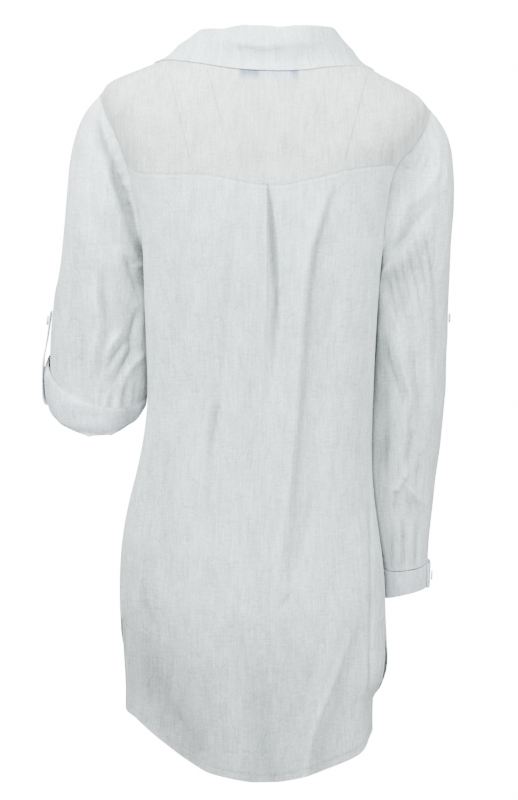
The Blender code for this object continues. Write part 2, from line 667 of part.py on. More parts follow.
def band_grid(hand, lift):
    """Points of a button band on the fronts' own rows, and outward directions."""
    rows = front_places(hand)
    points, normals = [], []
    for row in rows:
        seam_around, ring = row[-1]
        edge_around = free_edge(ring, hand)
        point_row, normal_row = [], []
        for share in (0.0, 0.5, 1.0):
            around = place(seam_around + (edge_around - seam_around) * share, hand)
            out = outward(around, ring)
            height = trunk(around, ring)[2]
            closed_share = min(max((V_DEPTH + 0.045 - height) / 0.045, 0.0), 1.0)
            point_row.append(cloth(around, ring) + out * lift * closed_share)
            normal_row.append(out)
        points.append(point_row)
        normals.append(normal_row)
    return np.array(points), np.array(normals)


def make_bands():
    """Button bands: the right one laps over the left one."""
    for hand, side, lift in ((1, "left", 0.0), (-1, "right", BAND_LIFT)):
        points, normals = band_grid(hand, lift)
        outer = drawn_in(points, 0, 0, SEAM)
        if hand < 0:
            outer, normals = outer[:, ::-1], normals[:, ::-1]
        wall("band_" + side, outer, outer - normals * DOUBLE, False, LINEN_DOUBLE)


def neck_line():
    """Places round the neck's seam, from the left band's free edge over the back to the
    right band's."""
    fronts = {}
    for hand in (1, -1):
        row = front_places(hand)[0]
        seam_around = row[-1][0]
        edge_around = free_edge(0.0, hand)
        line = [around for around, _ in row]
        line += [(seam_around + edge_around) / 2, edge_around]
        fronts[hand] = line
    yoke = [around for around, _ in YOKE_BOTTOM]
    left = [around for around in reversed(fronts[1][1:])]
    right = [-around for around in fronts[-1][1:]]
    return left + yoke + right


def stand_height(around):
    """Height of the collar stand: highest at the back, low at the ends."""
    return float(np.interp(abs(around), (0.0, 0.9, 1.1, 1.5, 1.8),
                           (0.031, 0.019, 0.017, 0.013, 0.011)))


# The leaf's free edge lies on the shoulders: place round, ring, distance above the cloth.
LEAF_EDGE = ((0.0, 0.62, 0.0045), (0.5, 0.66, 0.0045), (0.8, 0.80, 0.0042),
             (0.95, 0.93, 0.0042), (1.05, 0.98, 0.0042), (1.20, 1.02, 0.0045),
             (1.36, 1.16, 0.0048), (1.50, 1.40, 0.0050))
LEAF_ROWS = 7
LEAF_COLUMNS = 41
LEAF_OVER = 0.0009      # the leaf starts this far above the stand
LEAF_OUT = 0.0029       # and turns down this far outside it
LEAF_BULGE = ((0.0, 0.004), (0.4, -0.0015), (0.75, -0.001), (1.0, 0.003))


def fold_point(around):
    """The crease from which the collar's leaf turns over, above the neck's seam."""
    point = trunk(around, 0)
    height = stand_height(around)
    away = unit(np.array([point[0], point[1] * 0.8, 0.0]))
    spread = float(np.interp(abs(around), (0.0, 0.9, 1.4, 1.8), (0.05, 0.28, 0.45, 0.45)))
    return point + np.array([0, 0, height]) + away * height * spread


def leaf_frame(around):
    """The collar's crease at a place, and the directions over it and away from it."""
    step = 0.02
    fold = fold_point(around)
    along = unit(fold_point(around + step) - fold_point(around - step))
    over = unit(np.array([0.0, 0.0, 1.0]) - along * along[2])
    away = unit(np.cross(along, over))
    if away @ np.array([fold[0], fold[1], 0.0]) < 0:
        away = -away
    return fold, over, away


def make_collar():
    """Stand and leaf."""
    line = neck_line()
    bottom = np.array([trunk(around, 0) for around in line])
    top = np.array([fold_point(around) for around in line])
    middle = (bottom + top) / 2
    rise = (top - bottom) / np.linalg.norm(top - bottom, axis=1)[:, None]
    grid = np.array([top, middle, bottom + rise * SEAM])[:, ::-1]
    normals = grid_normals(grid, False)
    normals[:, :, 2] *= 0.3
    normals = normals / np.linalg.norm(normals, axis=2)[:, :, None]
    wall("collar_stand", grid, grid - normals * DOUBLE, False, LINEN_DOUBLE)

    ends = {1: line[0], -1: -line[-1]}
    spots = []
    for k in range(LEAF_COLUMNS):
        share = 1 - 2 * k / (LEAF_COLUMNS - 1)
        hand = 1 if share >= 0 else -1
        spots.append((abs(share), hand))
    outer = np.zeros((LEAF_ROWS, LEAF_COLUMNS, 3))
    for k, (share, hand) in enumerate(spots):
        around = ends[hand] * share
        fold, over, away = leaf_frame(around * hand)
        target = LEAF_EDGE[-1][0] * share
        ring = reading(LEAF_EDGE, target, 0, 1)
        clear = reading(LEAF_EDGE, target, 0, 2)
        spot = place(target, hand)
        edge = trunk(spot, ring) + outward(spot, ring) * clear
        start = fold + over * (LEAF_OVER + DOUBLE)
        crest = fold + away * LEAF_OUT + over * DOUBLE
        for row in range(LEAF_ROWS):
            part = max(row - 1, 0) / (LEAF_ROWS - 2)
            line_point = crest + (edge - crest) * part
            bulge = math.sin(math.pi * part) * reading(LEAF_BULGE, share)
            outer[row, k] = line_point + unit(away + over) * bulge
        outer[0, k] = start
    outer = outer[:, ::-1]
    normals = grid_normals(outer, False)
    wall("collar_leaf", outer, outer - normals * DOUBLE, False, LINEN_DOUBLE)


def make_sleeve(name, grid, edge):
    """A sleeve's wall, whose upper edge follows the directions that the armhole shares."""
    normals = grid_normals(grid, True)
    normals[0] = edge
    wall(name, grid, grid - normals * CLOTH, True, LINEN)


def make_roll(turns):
    """The rolled end of the left sleeve, as one soft band of folded layers."""
    base = np.array([[section(row, turn, SLEEVE_LEFT, 1) for turn in turns]
                     for row in ROLL_ROWS])
    normals = grid_normals(base, True)
    out = np.array(ROLL_OUT)[:, None, None]
    wall("rolled_cuff_left", base + normals * out, base + normals * ROLL_CLEAR, True,
         LINEN_DOUBLE)


def make_cuff():
    """The right cuff: a band whose end laps over its start on the outside of the arm."""
    first, last = CUFF_LAP
    steps = 30
    turns = [first + (360 + last - first) * k / steps for k in range(steps + 1)]
    lifts = [min(max((turn - (360 + first - 30)) / 30, 0.0), 1.0) * CUFF_LIFT
             for turn in turns]
    rows = np.linspace(0, len(CUFF_RIGHT) - 1, 4)
    base = np.array([[section(row, math.radians(turn), CUFF_RIGHT, -1) for turn in turns]
                     for row in rows])
    normals = grid_normals(base, False)
    outer = base + normals * np.array(lifts)[None, :, None]
    wall("cuff_right", outer, outer - normals * DOUBLE, False, LINEN_DOUBLE)
    turn = math.radians(sum(CUFF_LAP) / 2)
    spot, out = surface_at(1.0, turn, CUFF_RIGHT, -1)
    make_button("cuff_button", spot + out * (CUFF_LIFT + SEAM), out)


def surface_at(row, turn, table, hand):
    """A point of a sleeve's section and the direction out of it."""
    step = 0.02
    here = section(row, turn, table, hand)
    down = section(row + step, turn, table, hand) - section(row - step, turn, table, hand)
    along = section(row, turn + step, table, hand) - section(row, turn - step, table, hand)
    return here, unit(np.cross(down, along)) * hand


def make_button(name, seat, out):
    """A round shirt button: a disc with a rolled rim and a dished face."""
    sides = 12
    profile = ((0.0, 0.0), (BUTTON_RADIUS - 0.0005, 0.0), (BUTTON_RADIUS, 0.0010),
               (BUTTON_RADIUS - 0.0006, BUTTON_THICK),
               (BUTTON_RADIUS - 0.0022, BUTTON_THICK - 0.0006),
               (0.0, BUTTON_THICK - 0.0006))
    side = unit(np.cross(out, (0.0, 0.0, 1.0)))
    up = np.cross(side, out)
    points = [seat]
    for radius, height in profile[1:-1]:
        for k in range(sides):
            turn = 2 * math.pi * k / sides
            points.append(seat + out * height
                          + (side * math.cos(turn) + up * math.sin(turn)) * radius)
    points.append(seat + out * profile[-1][1])
    faces = []
    for k in range(sides):
        after = (k + 1) % sides
        faces.append((0, 1 + k, 1 + after))
        for ring in range(len(profile) - 3):
            low, high = 1 + ring * sides, 1 + (ring + 1) * sides
            faces.append((low + k, high + k, high + after, low + after))
        top = 1 + (len(profile) - 3) * sides
        faces.append((top + k, len(points) - 1, top + after))
    build(name, points, faces, SHELL, 0.35)


# The strap's path down the sleeve and over the roll: row of the sleeve, distance off it.
TAB_PATH = (
    (1.50, 0.0028), (1.75, 0.0026), (2.10, 0.0034), (3.20, 0.0060), (3.85, 0.0090),
    (4.30, 0.0095), (4.80, 0.0092), (5.00, 0.0074),
)
TAB_INSIDE = ((4.90, -0.0034), (4.50, -0.0036), (4.00, -0.0036), (3.40, -0.0036))
TAB_DROP = 0.0042       # how far the strap passes below the roll
TAB_TURNS = (-11.0, 0.0, 11.0)
TAB_BUTTON_ROW = 1.85


def make_tabs():
    """The strap that holds the left roll up, and the button of each sleeve's strap."""
    rows, normals = [], []
    for row, out in TAB_PATH:
        spots = [surface_at(min(row, 4.98), math.radians(turn), SLEEVE_LEFT, 1)
                 for turn in TAB_TURNS]
        rows.append([spot + normal * out for spot, normal in spots])
        normals.append([normal for _, normal in spots])
    for out, drop in ((0.0056, 0.0034), (0.0020, TAB_DROP), (-0.0016, 0.0034)):
        spots = [surface_at(4.98, math.radians(turn), SLEEVE_LEFT, 1) for turn in TAB_TURNS]
        rows.append([spot + normal * out - np.array([0, 0, drop]) for spot, normal in spots])
        normals.append([unit(normal * (out - 0.0020) - np.array([0, 0, 0.003]))
                        for _, normal in spots])
    for row, out in TAB_INSIDE:
        spots = [surface_at(row, math.radians(turn), SLEEVE_LEFT, 1) for turn in TAB_TURNS]
        rows.append([spot + normal * out for spot, normal in spots])
        normals.append([-normal for _, normal in spots])
    outer, normals = np.array(rows)[:, ::-1], np.array(normals)[:, ::-1]
    wall("tab_left", outer, outer - normals * TAB_THICK, False, LINEN_DOUBLE)
    spot, out = surface_at(TAB_BUTTON_ROW, 0.0, SLEEVE_LEFT, 1)
    make_button("tab_button_left", spot + out * (0.0030 + SEAM), out)
    spot, out = surface_at(1.3, 0.0, SLEEVE_RIGHT, -1)
    make_button("tab_button_right", spot + out * 0.0008, out)


def make_front_buttons():
    """Buttons down the lapped bands, and the open top one on the band below."""
    for number, height in enumerate(BUTTON_HEIGHTS, 1):
        ring = ring_at(height)
        out = outward(2.0, ring)
        make_button(f"front_button_{number}",
                    cloth(2.0, ring) + out * (BAND_LIFT + SEAM), out)
    ring = 1.2
    middle = (free_edge(ring, 1) + band_seam(ring, 1)) / 2
    out = outward(middle, ring)
    make_button("top_button", cloth(middle, ring) + out * (SEAM + 0.0003), out)


def make_label():
    """A blank label inside the back of the neck."""
    centre, half = -0.03, 0.25
    rings = (0.16, 0.48, 0.80)
    places = [[(centre + half * k / 4, ring) for k in range(4, -5, -1)] for ring in rings]
    clear = CLOTH + 0.001
    outer = np.array([[cloth(*spot) - outward(*spot) * clear for spot in row]
                      for row in places])
    normals = panel_normals(places, {})
    outer, normals = outer[:, ::-1], normals[:, ::-1]
    wall("neck_label", outer, outer - normals * LABEL_THICK, False, (0.86, 0.86, 0.85))


def build_shirt():
    """All the pieces."""
    left, left_turns = sleeve_grid(SLEEVE_LEFT, SLEEVE_FOLDS_LEFT, 1, LEFT_END)
    right, _ = sleeve_grid(SLEEVE_RIGHT, SLEEVE_FOLDS_RIGHT, -1, len(SLEEVE_RIGHT) - 1)
    shared = armhole_outward(1, left)
    shared.update(armhole_outward(-1, right))
    for side, grid, hand in (("left", left, 1), ("right", right, -1)):
        places, _ = armhole_places(hand)
        edge = np.array([shared[key(*spot)] for spot in places])
        edge = edge if hand < 0 else edge[::-1]
        make_sleeve("sleeve_" + side, grid, edge)
    make_trunk(shared)
    make_bands()
    make_collar()
    make_roll(left_turns)
    make_cuff()
    make_tabs()
    make_front_buttons()
    make_label()


for old in list(bpy.data.objects):
    bpy.data.objects.remove(old)
build_shirt()
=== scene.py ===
import json
import math

import bmesh
import bpy
import numpy as np
from mathutils import Matrix, Vector, noise
from mathutils.bvhtree import BVHTree
from mathutils.kdtree import KDTree

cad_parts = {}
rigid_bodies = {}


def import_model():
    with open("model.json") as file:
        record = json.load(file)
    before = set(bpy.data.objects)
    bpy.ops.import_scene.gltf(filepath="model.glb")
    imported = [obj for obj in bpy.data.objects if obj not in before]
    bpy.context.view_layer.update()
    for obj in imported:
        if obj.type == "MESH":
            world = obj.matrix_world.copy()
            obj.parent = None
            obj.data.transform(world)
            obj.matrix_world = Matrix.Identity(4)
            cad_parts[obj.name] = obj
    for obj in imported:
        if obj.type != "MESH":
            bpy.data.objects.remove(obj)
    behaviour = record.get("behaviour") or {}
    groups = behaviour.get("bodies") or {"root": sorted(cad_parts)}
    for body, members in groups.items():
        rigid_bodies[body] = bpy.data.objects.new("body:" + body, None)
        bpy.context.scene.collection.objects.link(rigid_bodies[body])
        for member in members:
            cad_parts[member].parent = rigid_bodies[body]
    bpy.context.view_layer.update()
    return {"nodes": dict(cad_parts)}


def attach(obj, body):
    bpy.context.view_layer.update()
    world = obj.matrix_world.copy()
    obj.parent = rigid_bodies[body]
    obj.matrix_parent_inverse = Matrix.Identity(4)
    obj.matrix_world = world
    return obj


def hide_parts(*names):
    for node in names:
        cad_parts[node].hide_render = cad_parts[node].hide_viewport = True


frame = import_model()


# Studio. The shirt hangs in the air as it does on its wearer, over a pale round floor, and is
# seen from behind at the height of its middle.
VIEW_AWAY = 3.2
VIEW_SIDE = 0.008
VIEW_HEIGHT = -0.409
LENS = 193.5
FLOOR_HEIGHT = -1.30
FLOOR_RADIUS = 2.3
FLOOR_GREY = (0.22, 0.22, 0.22, 1)

camera_data = bpy.data.cameras.new("camera")
camera_data.sensor_fit = "HORIZONTAL"
camera_data.lens = LENS
camera = bpy.data.objects.new("camera", camera_data)
camera.location = (VIEW_SIDE, VIEW_AWAY, VIEW_HEIGHT)
camera.rotation_euler = (math.radians(90), 0, math.radians(180))
bpy.context.collection.objects.link(camera)
bpy.context.scene.camera = camera

bpy.ops.object.select_all(action="DESELECT")
bpy.ops.mesh.primitive_circle_add(vertices=96, radius=FLOOR_RADIUS, fill_type="NGON",
                                  location=(0, 0, FLOOR_HEIGHT))
floor = bpy.context.object
floor.name = "pale_floor"
bpy.ops.object.transform_apply(location=True, rotation=True, scale=True)
floor_paint = bpy.data.materials.new("pale floor")
floor_paint.use_nodes = True
floor_shader = floor_paint.node_tree.nodes["Principled BSDF"]
floor_shader.inputs["Base Color"].default_value = FLOOR_GREY
floor_shader.inputs["Roughness"].default_value = 0.9
floor.data.materials.append(floor_paint)

SKY = 0.45                  # light from all round
SKY_TINT = (0.84, 0.97, 1.0, 1)
BACKDROP = 16.0             # the bright paper that the camera sees behind the shirt
BACKDROP_EDGE = (0.970, 0.985)

world = bpy.data.worlds.new("studio")
world.use_nodes = True
sky_nodes, sky_links = world.node_tree.nodes, world.node_tree.links
direction = sky_nodes.new("ShaderNodeTexCoord")
towards = sky_nodes.new("ShaderNodeVectorMath")
towards.operation = "DOT_PRODUCT"
towards.inputs[1].default_value = (0, -1, 0)
sky_links.new(direction.outputs["Generated"], towards.inputs[0])
paper = sky_nodes.new("ShaderNodeMapRange")
paper.interpolation_type = "SMOOTHSTEP"
paper.inputs["From Min"].default_value = BACKDROP_EDGE[0]
paper.inputs["From Max"].default_value = BACKDROP_EDGE[1]
paper.inputs["To Min"].default_value = SKY
paper.inputs["To Max"].default_value = BACKDROP
sky_links.new(towards.outputs["Value"], paper.inputs["Value"])
sky_links.new(paper.outputs["Result"], sky_nodes["Background"].inputs["Strength"])
sky_tint = sky_nodes.new("ShaderNodeMix")
sky_tint.data_type = "RGBA"
sky_tint.inputs["A"].default_value = SKY_TINT
sky_tint.inputs["B"].default_value = (1, 1, 1, 1)
sky_links.new(paper.outputs["Result"], sky_tint.inputs["Factor"])
sky_links.new(sky_tint.outputs["Result"], sky_nodes["Background"].inputs["Color"])
bpy.context.scene.world = world

SOFT_LIGHTS = (             # name, place, aim, width, power, colour
    ("key", (0.20, 1.00, 1.00), (0, 0, -0.05), 0.7, 67, (0.87, 1.0, 0.985)),
    ("left_side", (1.4, 0.75, 0.65), (0.1, 0, -0.1), 0.5, 56, (0.91, 0.99, 1.0)),
    ("right_side", (-1.35, 1.15, 0.10), (-0.1, 0, -0.35), 0.7, 46, (0.89, 1.0, 1.0)),
)
for name, place, aim, width, power, colour in SOFT_LIGHTS:
    lamp = bpy.data.lights.new(name, "AREA")
    lamp.size = width
    lamp.energy = power
    lamp.color = colour
    light = bpy.data.objects.new(name, lamp)
    light.location = place
    light.rotation_euler = (Vector(aim) - Vector(place)).to_track_quat("-Z", "Y").to_euler()
    bpy.context.collection.objects.link(light)


# Back yoke. One layer of white plain-weave linen over the shoulders, cut in one piece, felled
# to the back, the fronts and the sleeves, and gathered a little by the pull of the armholes.
MM = 0.001
SAME_PLACE = 0.01 * MM
RIM = 1.8 * MM              # a face with an edge shorter than this is the wall's cut edge
YOKE_LINEN = (0.665, 0.650, 0.632)
CLOTH_THICK = 0.8 * MM
LEVELS = 2
CORNER = math.radians(32)   # an edge that turns more than this keeps its corner
# painted shade in a crease's trough and painted highlight on its ridge, per metre of its rise
PAINTED_TONE_PER_RISE = 0.6 / (3.5 * MM)
FLUSH = 9 * MM              # how far from a seam the cloth lies still
FLUSH_CURVE = 0.7
CREASE_CURVE = 1.6
CREASE_TURN = 3             # how soon a crease fades where the cloth turns away
CREASE_REST = 0.25
LIGHT_STEP = (0.6, -0.25)   # millimetres across and up, along which a slope is measured for painted light and shade
SEED_STEP = (7.3, 3.1, 5.7)
SEAM_HEIGHT = -160 * MM
SEAM_REACH = 32 * MM
SEAM_BEHIND = 30 * MM       # how far behind the middle the seam is at its full rise
SEAM_RISE = (               # millimetres: across, rise
    (-170, 8), (-146, 13), (-131, 16), (-108, 18), (-88, 17.5), (-64, 12), (-38, 5.4),
    (-20, 0), (10, -0.6), (33, 3), (54, 5.8), (79, 5.4), (104, 1.7), (127, -4), (145, -9),
    (160, -6), (175, 0),
)
ALLOWANCE = 4.5 * MM        # cloth that goes on under its neighbour at a seam
ALLOWANCE_DOWN = 1.5 * MM
ALLOWANCE_TURN = (0.5 * MM, 1.1 * MM)
STITCH = 2.0 * MM
STITCH_STEP = 2.7 * MM
THREAD = 0.30 * MM
# how far the painted shade darkens the deepest folds, and the painted highlight brightens the highest
# ridges
FOLD_SHADE = 0.50
RIDGE_LIGHT = 1.20
SEEN_THROUGH = (            # across and height of both ends, width, softness (mm), strength, tint
    (109.9, -38, 85.3, -140, 1.5, 0.9, 0.8, (0.66, 0.67, 0.70)),
    (66.2, -37, 50.6, -95, 1.5, 0.9, 0.8, (0.66, 0.67, 0.70)),
    (-115.2, -38, -88.3, -140, 1.5, 0.9, 0.9, (0.66, 0.67, 0.70)),
    (-70.4, -37, -57, -88, 1.5, 0.9, 0.5, (0.66, 0.67, 0.70)),
    (-3.2, -30, -3.2, -47, 68, 5, 1.0, (0.78, 0.85, 0.98)),
    (19, -30, 19, -46, 22, 5, 1.0, (0.40, 0.43, 0.55)),
    (-32, -30, -32, -46, 9, 5, 1.0, (0.45, 0.48, 0.60)),
)


def opened(mesh):
    """An editable copy of a mesh."""
    bm = bmesh.new()
    bm.from_mesh(mesh)
    return bm


def closed(bm, mesh):
    """Writes an edited copy into its mesh."""
    bm.to_mesh(mesh)
    bm.free()


def new_piece(name, mesh):
    """Puts a mesh in the scene as a piece of its own."""
    item = bpy.data.objects.new(name, mesh)
    bpy.context.collection.objects.link(item)
    return item


def reshape(item, kind, **settings):
    """Applies one modifier to a piece, which is then the only one selected."""
    bpy.ops.object.select_all(action="DESELECT")
    bpy.context.view_layer.objects.active = item
    item.select_set(True)
    modifier = item.modifiers.new(kind, kind)
    for setting, value in settings.items():
        setattr(modifier, setting, value)
    bpy.ops.object.modifier_apply(modifier=kind)


def outer_sheet(node, centre, rim=RIM):
    """The outer side of a CAD node's wall, as points and four-sided faces. centre is a place
    behind the cloth; its height is left out where it is None."""
    bm = opened(frame["nodes"][node].data)
    bmesh.ops.remove_doubles(bm, verts=bm.verts, dist=SAME_PLACE)
    cut = [face for face in bm.faces if min(edge.calc_length() for edge in face.edges) < rim]
    bmesh.ops.delete(bm, geom=cut, context="FACES")
    sides, seen = [], set()
    for start in bm.faces:
        if start in seen:
            continue
        side, waiting = [], [start]
        seen.add(start)
        while waiting:
            face = waiting.pop()
            side.append(face)
            for edge in face.edges:
                for other in edge.link_faces:
                    if other not in seen:
                        seen.add(other)
                        waiting.append(other)
        sides.append(side)

    def turned_out(side):
        total = 0.0
        for face in side:
            middle = face.calc_center_median()
            away = Vector((middle.x - centre[0], middle.y - centre[1],
                           0 if centre[2] is None else middle.z - centre[2]))
            total += face.normal.dot(away.normalized()) * face.calc_area()
        return total

    sides.sort(key=len, reverse=True)
    keep = set(max(sides[:2], key=turned_out))
    bmesh.ops.delete(bm, geom=[face for face in bm.faces if face not in keep],
                     context="FACES")
    bmesh.ops.join_triangles(bm, faces=bm.faces, angle_face_threshold=math.pi,
                             angle_shape_threshold=math.pi)
    bm.verts.index_update()
    points = [tuple(vert.co) for vert in bm.verts]
    faces = [[vert.index for vert in face.verts] for face in bm.faces]
    bm.free()
    return points, faces


def smooth_sheet(name, points, faces, longest=4.2 * MM):
    """A finer sheet through the same form, whose corners and edges stay where they are. No
    edge of it is much longer than longest."""
    mesh = bpy.data.meshes.new(name)
    mesh.from_pydata(points, [], faces)
    bm = opened(mesh)
    crease = bm.verts.layers.float.new("crease_vert")
    for vert in bm.verts:
        ends = [edge.other_vert(vert).co - vert.co for edge in vert.link_edges
                if edge.is_boundary]
        if len(ends) == 2 and ends[0].angle(-ends[1]) > CORNER:
            vert[crease] = 1.0
    closed(bm, mesh)
    item = new_piece(name, mesh)
    reshape(item, "SUBSURF", levels=LEVELS, boundary_smooth="PRESERVE_CORNERS")
    bm = opened(item.data)
    for _ in range(2):
        long_edges = [edge for edge in bm.edges if edge.calc_length() > longest]
        if long_edges:
            bmesh.ops.subdivide_edges(bm, edges=long_edges, cuts=1, use_grid_fill=True)
    closed(bm, item.data)
    return item


def places(item):
    """Points of a piece and the directions out of its cloth."""
    count = len(item.data.vertices)
    points, normals = np.empty(count * 3), np.empty(count * 3)
    item.data.vertices.foreach_get("co", points)
    item.data.vertices.foreach_get("normal", normals)
    return points.reshape(-1, 3), normals.reshape(-1, 3)


def move_to(item, points):
    """Gives the points of a piece their new places."""
    item.data.vertices.foreach_set("co", points.ravel())
    item.data.update()


def away_from(points):
    """A function that says how far a place lies from the nearest of some points."""
    tree = KDTree(len(points))
    for number, point in enumerate(points):
        tree.insert(point, number)
    tree.balance()
    return lambda place: tree.find(place)[2]


def edge_chain(item, wanted):
    """Points of a piece's open edges at which wanted(x, y, z) is true."""
    bm = opened(item.data)
    found = [vert.co.copy() for vert in bm.verts
             if any(edge.is_boundary for edge in vert.link_edges) and wanted(*vert.co)]
    bm.free()
    return np.array(found).reshape(-1, 3)


def all_round(x, y, z):
    """True along every open edge of a piece."""
    return True


def edge_distance(item, wanted):
    """How far each point lies from the open edges at which wanted(x, y, z) is true."""
    away = away_from(edge_chain(item, wanted))
    return np.array([away(point) for point in places(item)[0]])


def lift(item, rise, folds=None, seams=None, line=0):
    """Moves the cloth out along its own directions, less and less near its seams, so neighbours
    stay flush there. Keeps a tone of painted light and shade for the linen: painted shade where
    it folds in or its slope turns from the light, a painted highlight on a ridge, and line
    painted as shade where it is above 0 and as light where it is below 0."""
    points, normals = places(item)
    folds, slope = np.zeros((2, len(points))) if folds is None else folds
    free = 1.0
    if seams:
        free = np.clip(edge_distance(item, seams) / FLUSH, 0, 1) ** FLUSH_CURVE
    move_to(item, points + normals * ((rise + folds) * free)[:, None])
    tone = item.data.attributes.new("tone", "FLOAT", "POINT")
    tone.data.foreach_set("value", np.clip(folds * PAINTED_TONE_PER_RISE - slope - line, -1, 1))


def draw_seam_up(item):
    """Moves the line between yoke and back to its own uneven height. Every piece that meets
    there moves alike, so the seams stay shut."""
    points, _ = places(item)
    across, rise = np.array(SEAM_RISE).T * MM
    near = np.exp(-((points[:, 2] - SEAM_HEIGHT) / SEAM_REACH) ** 2)
    behind = np.clip(points[:, 1] / SEAM_BEHIND, 0, 1)
    points[:, 2] += np.interp(points[:, 0], across, rise) * near * behind
    move_to(item, points)


def crease_height(flat, creases):
    """How far a table of creases lifts the cloth at places across and up it, in metres. Each
    point of a crease says, in millimetres, how far across and how high it lies, how far to its
    sides it reaches and how much it rises."""
    total = np.zeros(len(flat))
    for crease in creases:
        rows = np.array(crease, float)
        nearest = np.full(len(flat), 1e9)
        reach, rise = np.ones(len(flat)), np.zeros(len(flat))
        for start, end in zip(rows, rows[1:]):
            way = end[:2] - start[:2]
            part = np.clip((flat - start[:2]) @ way / (way @ way), 0, 1)
            away = np.hypot(*(flat - start[:2] - part[:, None] * way).T)
            near = away < nearest
            nearest[near] = away[near]
            reach[near] = (start[2] + (end[2] - start[2]) * part)[near]
            rise[near] = (start[3] + (end[3] - start[3]) * part)[near]
        total += rise * np.exp(-(nearest / reach) ** CREASE_CURVE)
    return total * MM


def crease_rise(item, creases, facing, gain=1.0):
    """The rise of a table of creases at each point, and its slope across, which lift paints into
    the tone as light and shade. facing is 1 for cloth seen from behind and -1 for cloth seen from the
    front."""
    points, normals = places(item)
    flat = points[:, (0, 2)] / MM
    shown = np.clip(normals[:, 1] * facing * CREASE_TURN + CREASE_REST, 0, 1) * gain
    step = np.array(LIGHT_STEP)
    ahead, behind = crease_height(flat + step, creases), crease_height(flat - step, creases)
    slope = (ahead - behind) / (2 * np.hypot(*step) * MM)
    return np.array((crease_height(flat, creases) * shown, slope * shown))


def rumple(item, size, stretch, rise, seed):
    """Small uneven waves, longer down the cloth than across it."""
    points, _ = places(item)
    shift = Vector([seed * step for step in SEED_STEP])
    waves = [noise.noise(Vector((x / size, y / size, z / (size * stretch))) + shift)
             for x, y, z in points]
    return np.array(waves) * rise


def cloth_map(item, across, down):
    """A flat map of the cloth in metres, from functions of a point."""
    layer = item.data.uv_layers.new(name="cloth")
    for loop in item.data.loops:
        point = item.data.vertices[loop.vertex_index].co
        layer.data[loop.index].uv = (across(point), down(point))


def open_edges(bm, wanted):
    """The open edges at which wanted(x, y, z) is true, and for each of their ends the way into
    the cloth and the way out of it."""
    edges = [edge for edge in bm.edges
             if edge.is_boundary and all(wanted(*vert.co) for vert in edge.verts)]
    inward, up = {}, {}
    for edge in edges:
        face = edge.link_faces[0]
        start, end = (vert.co for vert in edge.verts)
        way = face.calc_center_median() - (start + end) / 2
        along = (end - start).normalized()
        way -= along * way.dot(along)
        for vert in edge.verts:
            inward[vert] = inward.get(vert, Vector()) + way.normalized()
            up[vert] = up.get(vert, Vector()) + face.normal
    return edges, inward, up


def seam_allowance(item, wanted, reach=ALLOWANCE):
    """Lets the cloth go on under its neighbour, beyond the edges that wanted(x, y, z) picks,
    as a felled seam's allowance does."""
    bm = opened(item.data)
    edges, inward, up = open_edges(bm, wanted)
    ends = [(edge.link_loops[0].vert, edge.link_loops[0].link_loop_next.vert) for edge in edges]
    ring = {vert: vert for vert in inward}
    for step_out, step_down in (ALLOWANCE_TURN, (reach, ALLOWANCE_DOWN)):
        fresh = {vert: bm.verts.new(vert.co - inward[vert].normalized() * step_out
                                    - up[vert].normalized() * step_down)
                 for vert in inward}
        for start, end in ends:
            bm.faces.new((ring[end], ring[start], fresh[start], fresh[end]))
        ring = fresh
    closed(bm, item.data)


def chains(edges):
    """Puts loose edges in order, as runs of vertices."""
    joined = {}
    for edge in edges:
        for vert in edge.verts:
            joined.setdefault(vert, []).append(edge)
    runs, used = [], set()
    for start in sorted(joined, key=lambda vert: (len(joined[vert]), vert.index)):
        run, here = [start], start
        while True:
            onward = [edge for edge in joined[here] if edge not in used]
            if not onward:
                break
            used.add(onward[0])
            here = onward[0].other_vert(here)
            run.append(here)
        if len(run) > 2:
            runs.append(run)
    return runs


def sew(name, item, wanted, inset):
    """A row of stitches on a sheet, inset from the edges that wanted(x, y, z) picks."""
    bm = opened(item.data)
    cloth = BVHTree.FromBMesh(bm)
    edges, inward, _ = open_edges(bm, wanted)
    points, faces = [], []
    for run in chains(edges):
        line = [vert.co + inward[vert].normalized() * inset for vert in run]
        left = 0.0
        for start, end in zip(line, line[1:]):
            length = (end - start).length
            while left < length:
                spot = start.lerp(end, left / length)
                left += STITCH_STEP
                centre, normal, _, _ = cloth.find_nearest(spot)
                if normal is None:
                    continue
                along = (end - start).normalized()
                side = along.cross(normal).normalized()
                first = len(points)
                points += [centre + along * STITCH / 2, centre - along * STITCH / 2,
                           centre + side * THREAD, centre - side * THREAD,
                           centre + normal * THREAD, centre - normal * THREAD]
                for a, b in ((0, 2), (2, 1), (1, 3), (3, 0)):
                    faces += [(first + a, first + b, first + 4), (first + b, first + a, first + 5)]
            left -= length
    bm.free()
    mesh = bpy.data.meshes.new(name)
    mesh.from_pydata(points, [], faces)
    turned = opened(mesh)
    bmesh.ops.recalc_face_normals(turned, faces=turned.faces)
    closed(turned, mesh)
    mesh.materials.append(thread)
    row = new_piece(name, mesh)
    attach(row, "root")


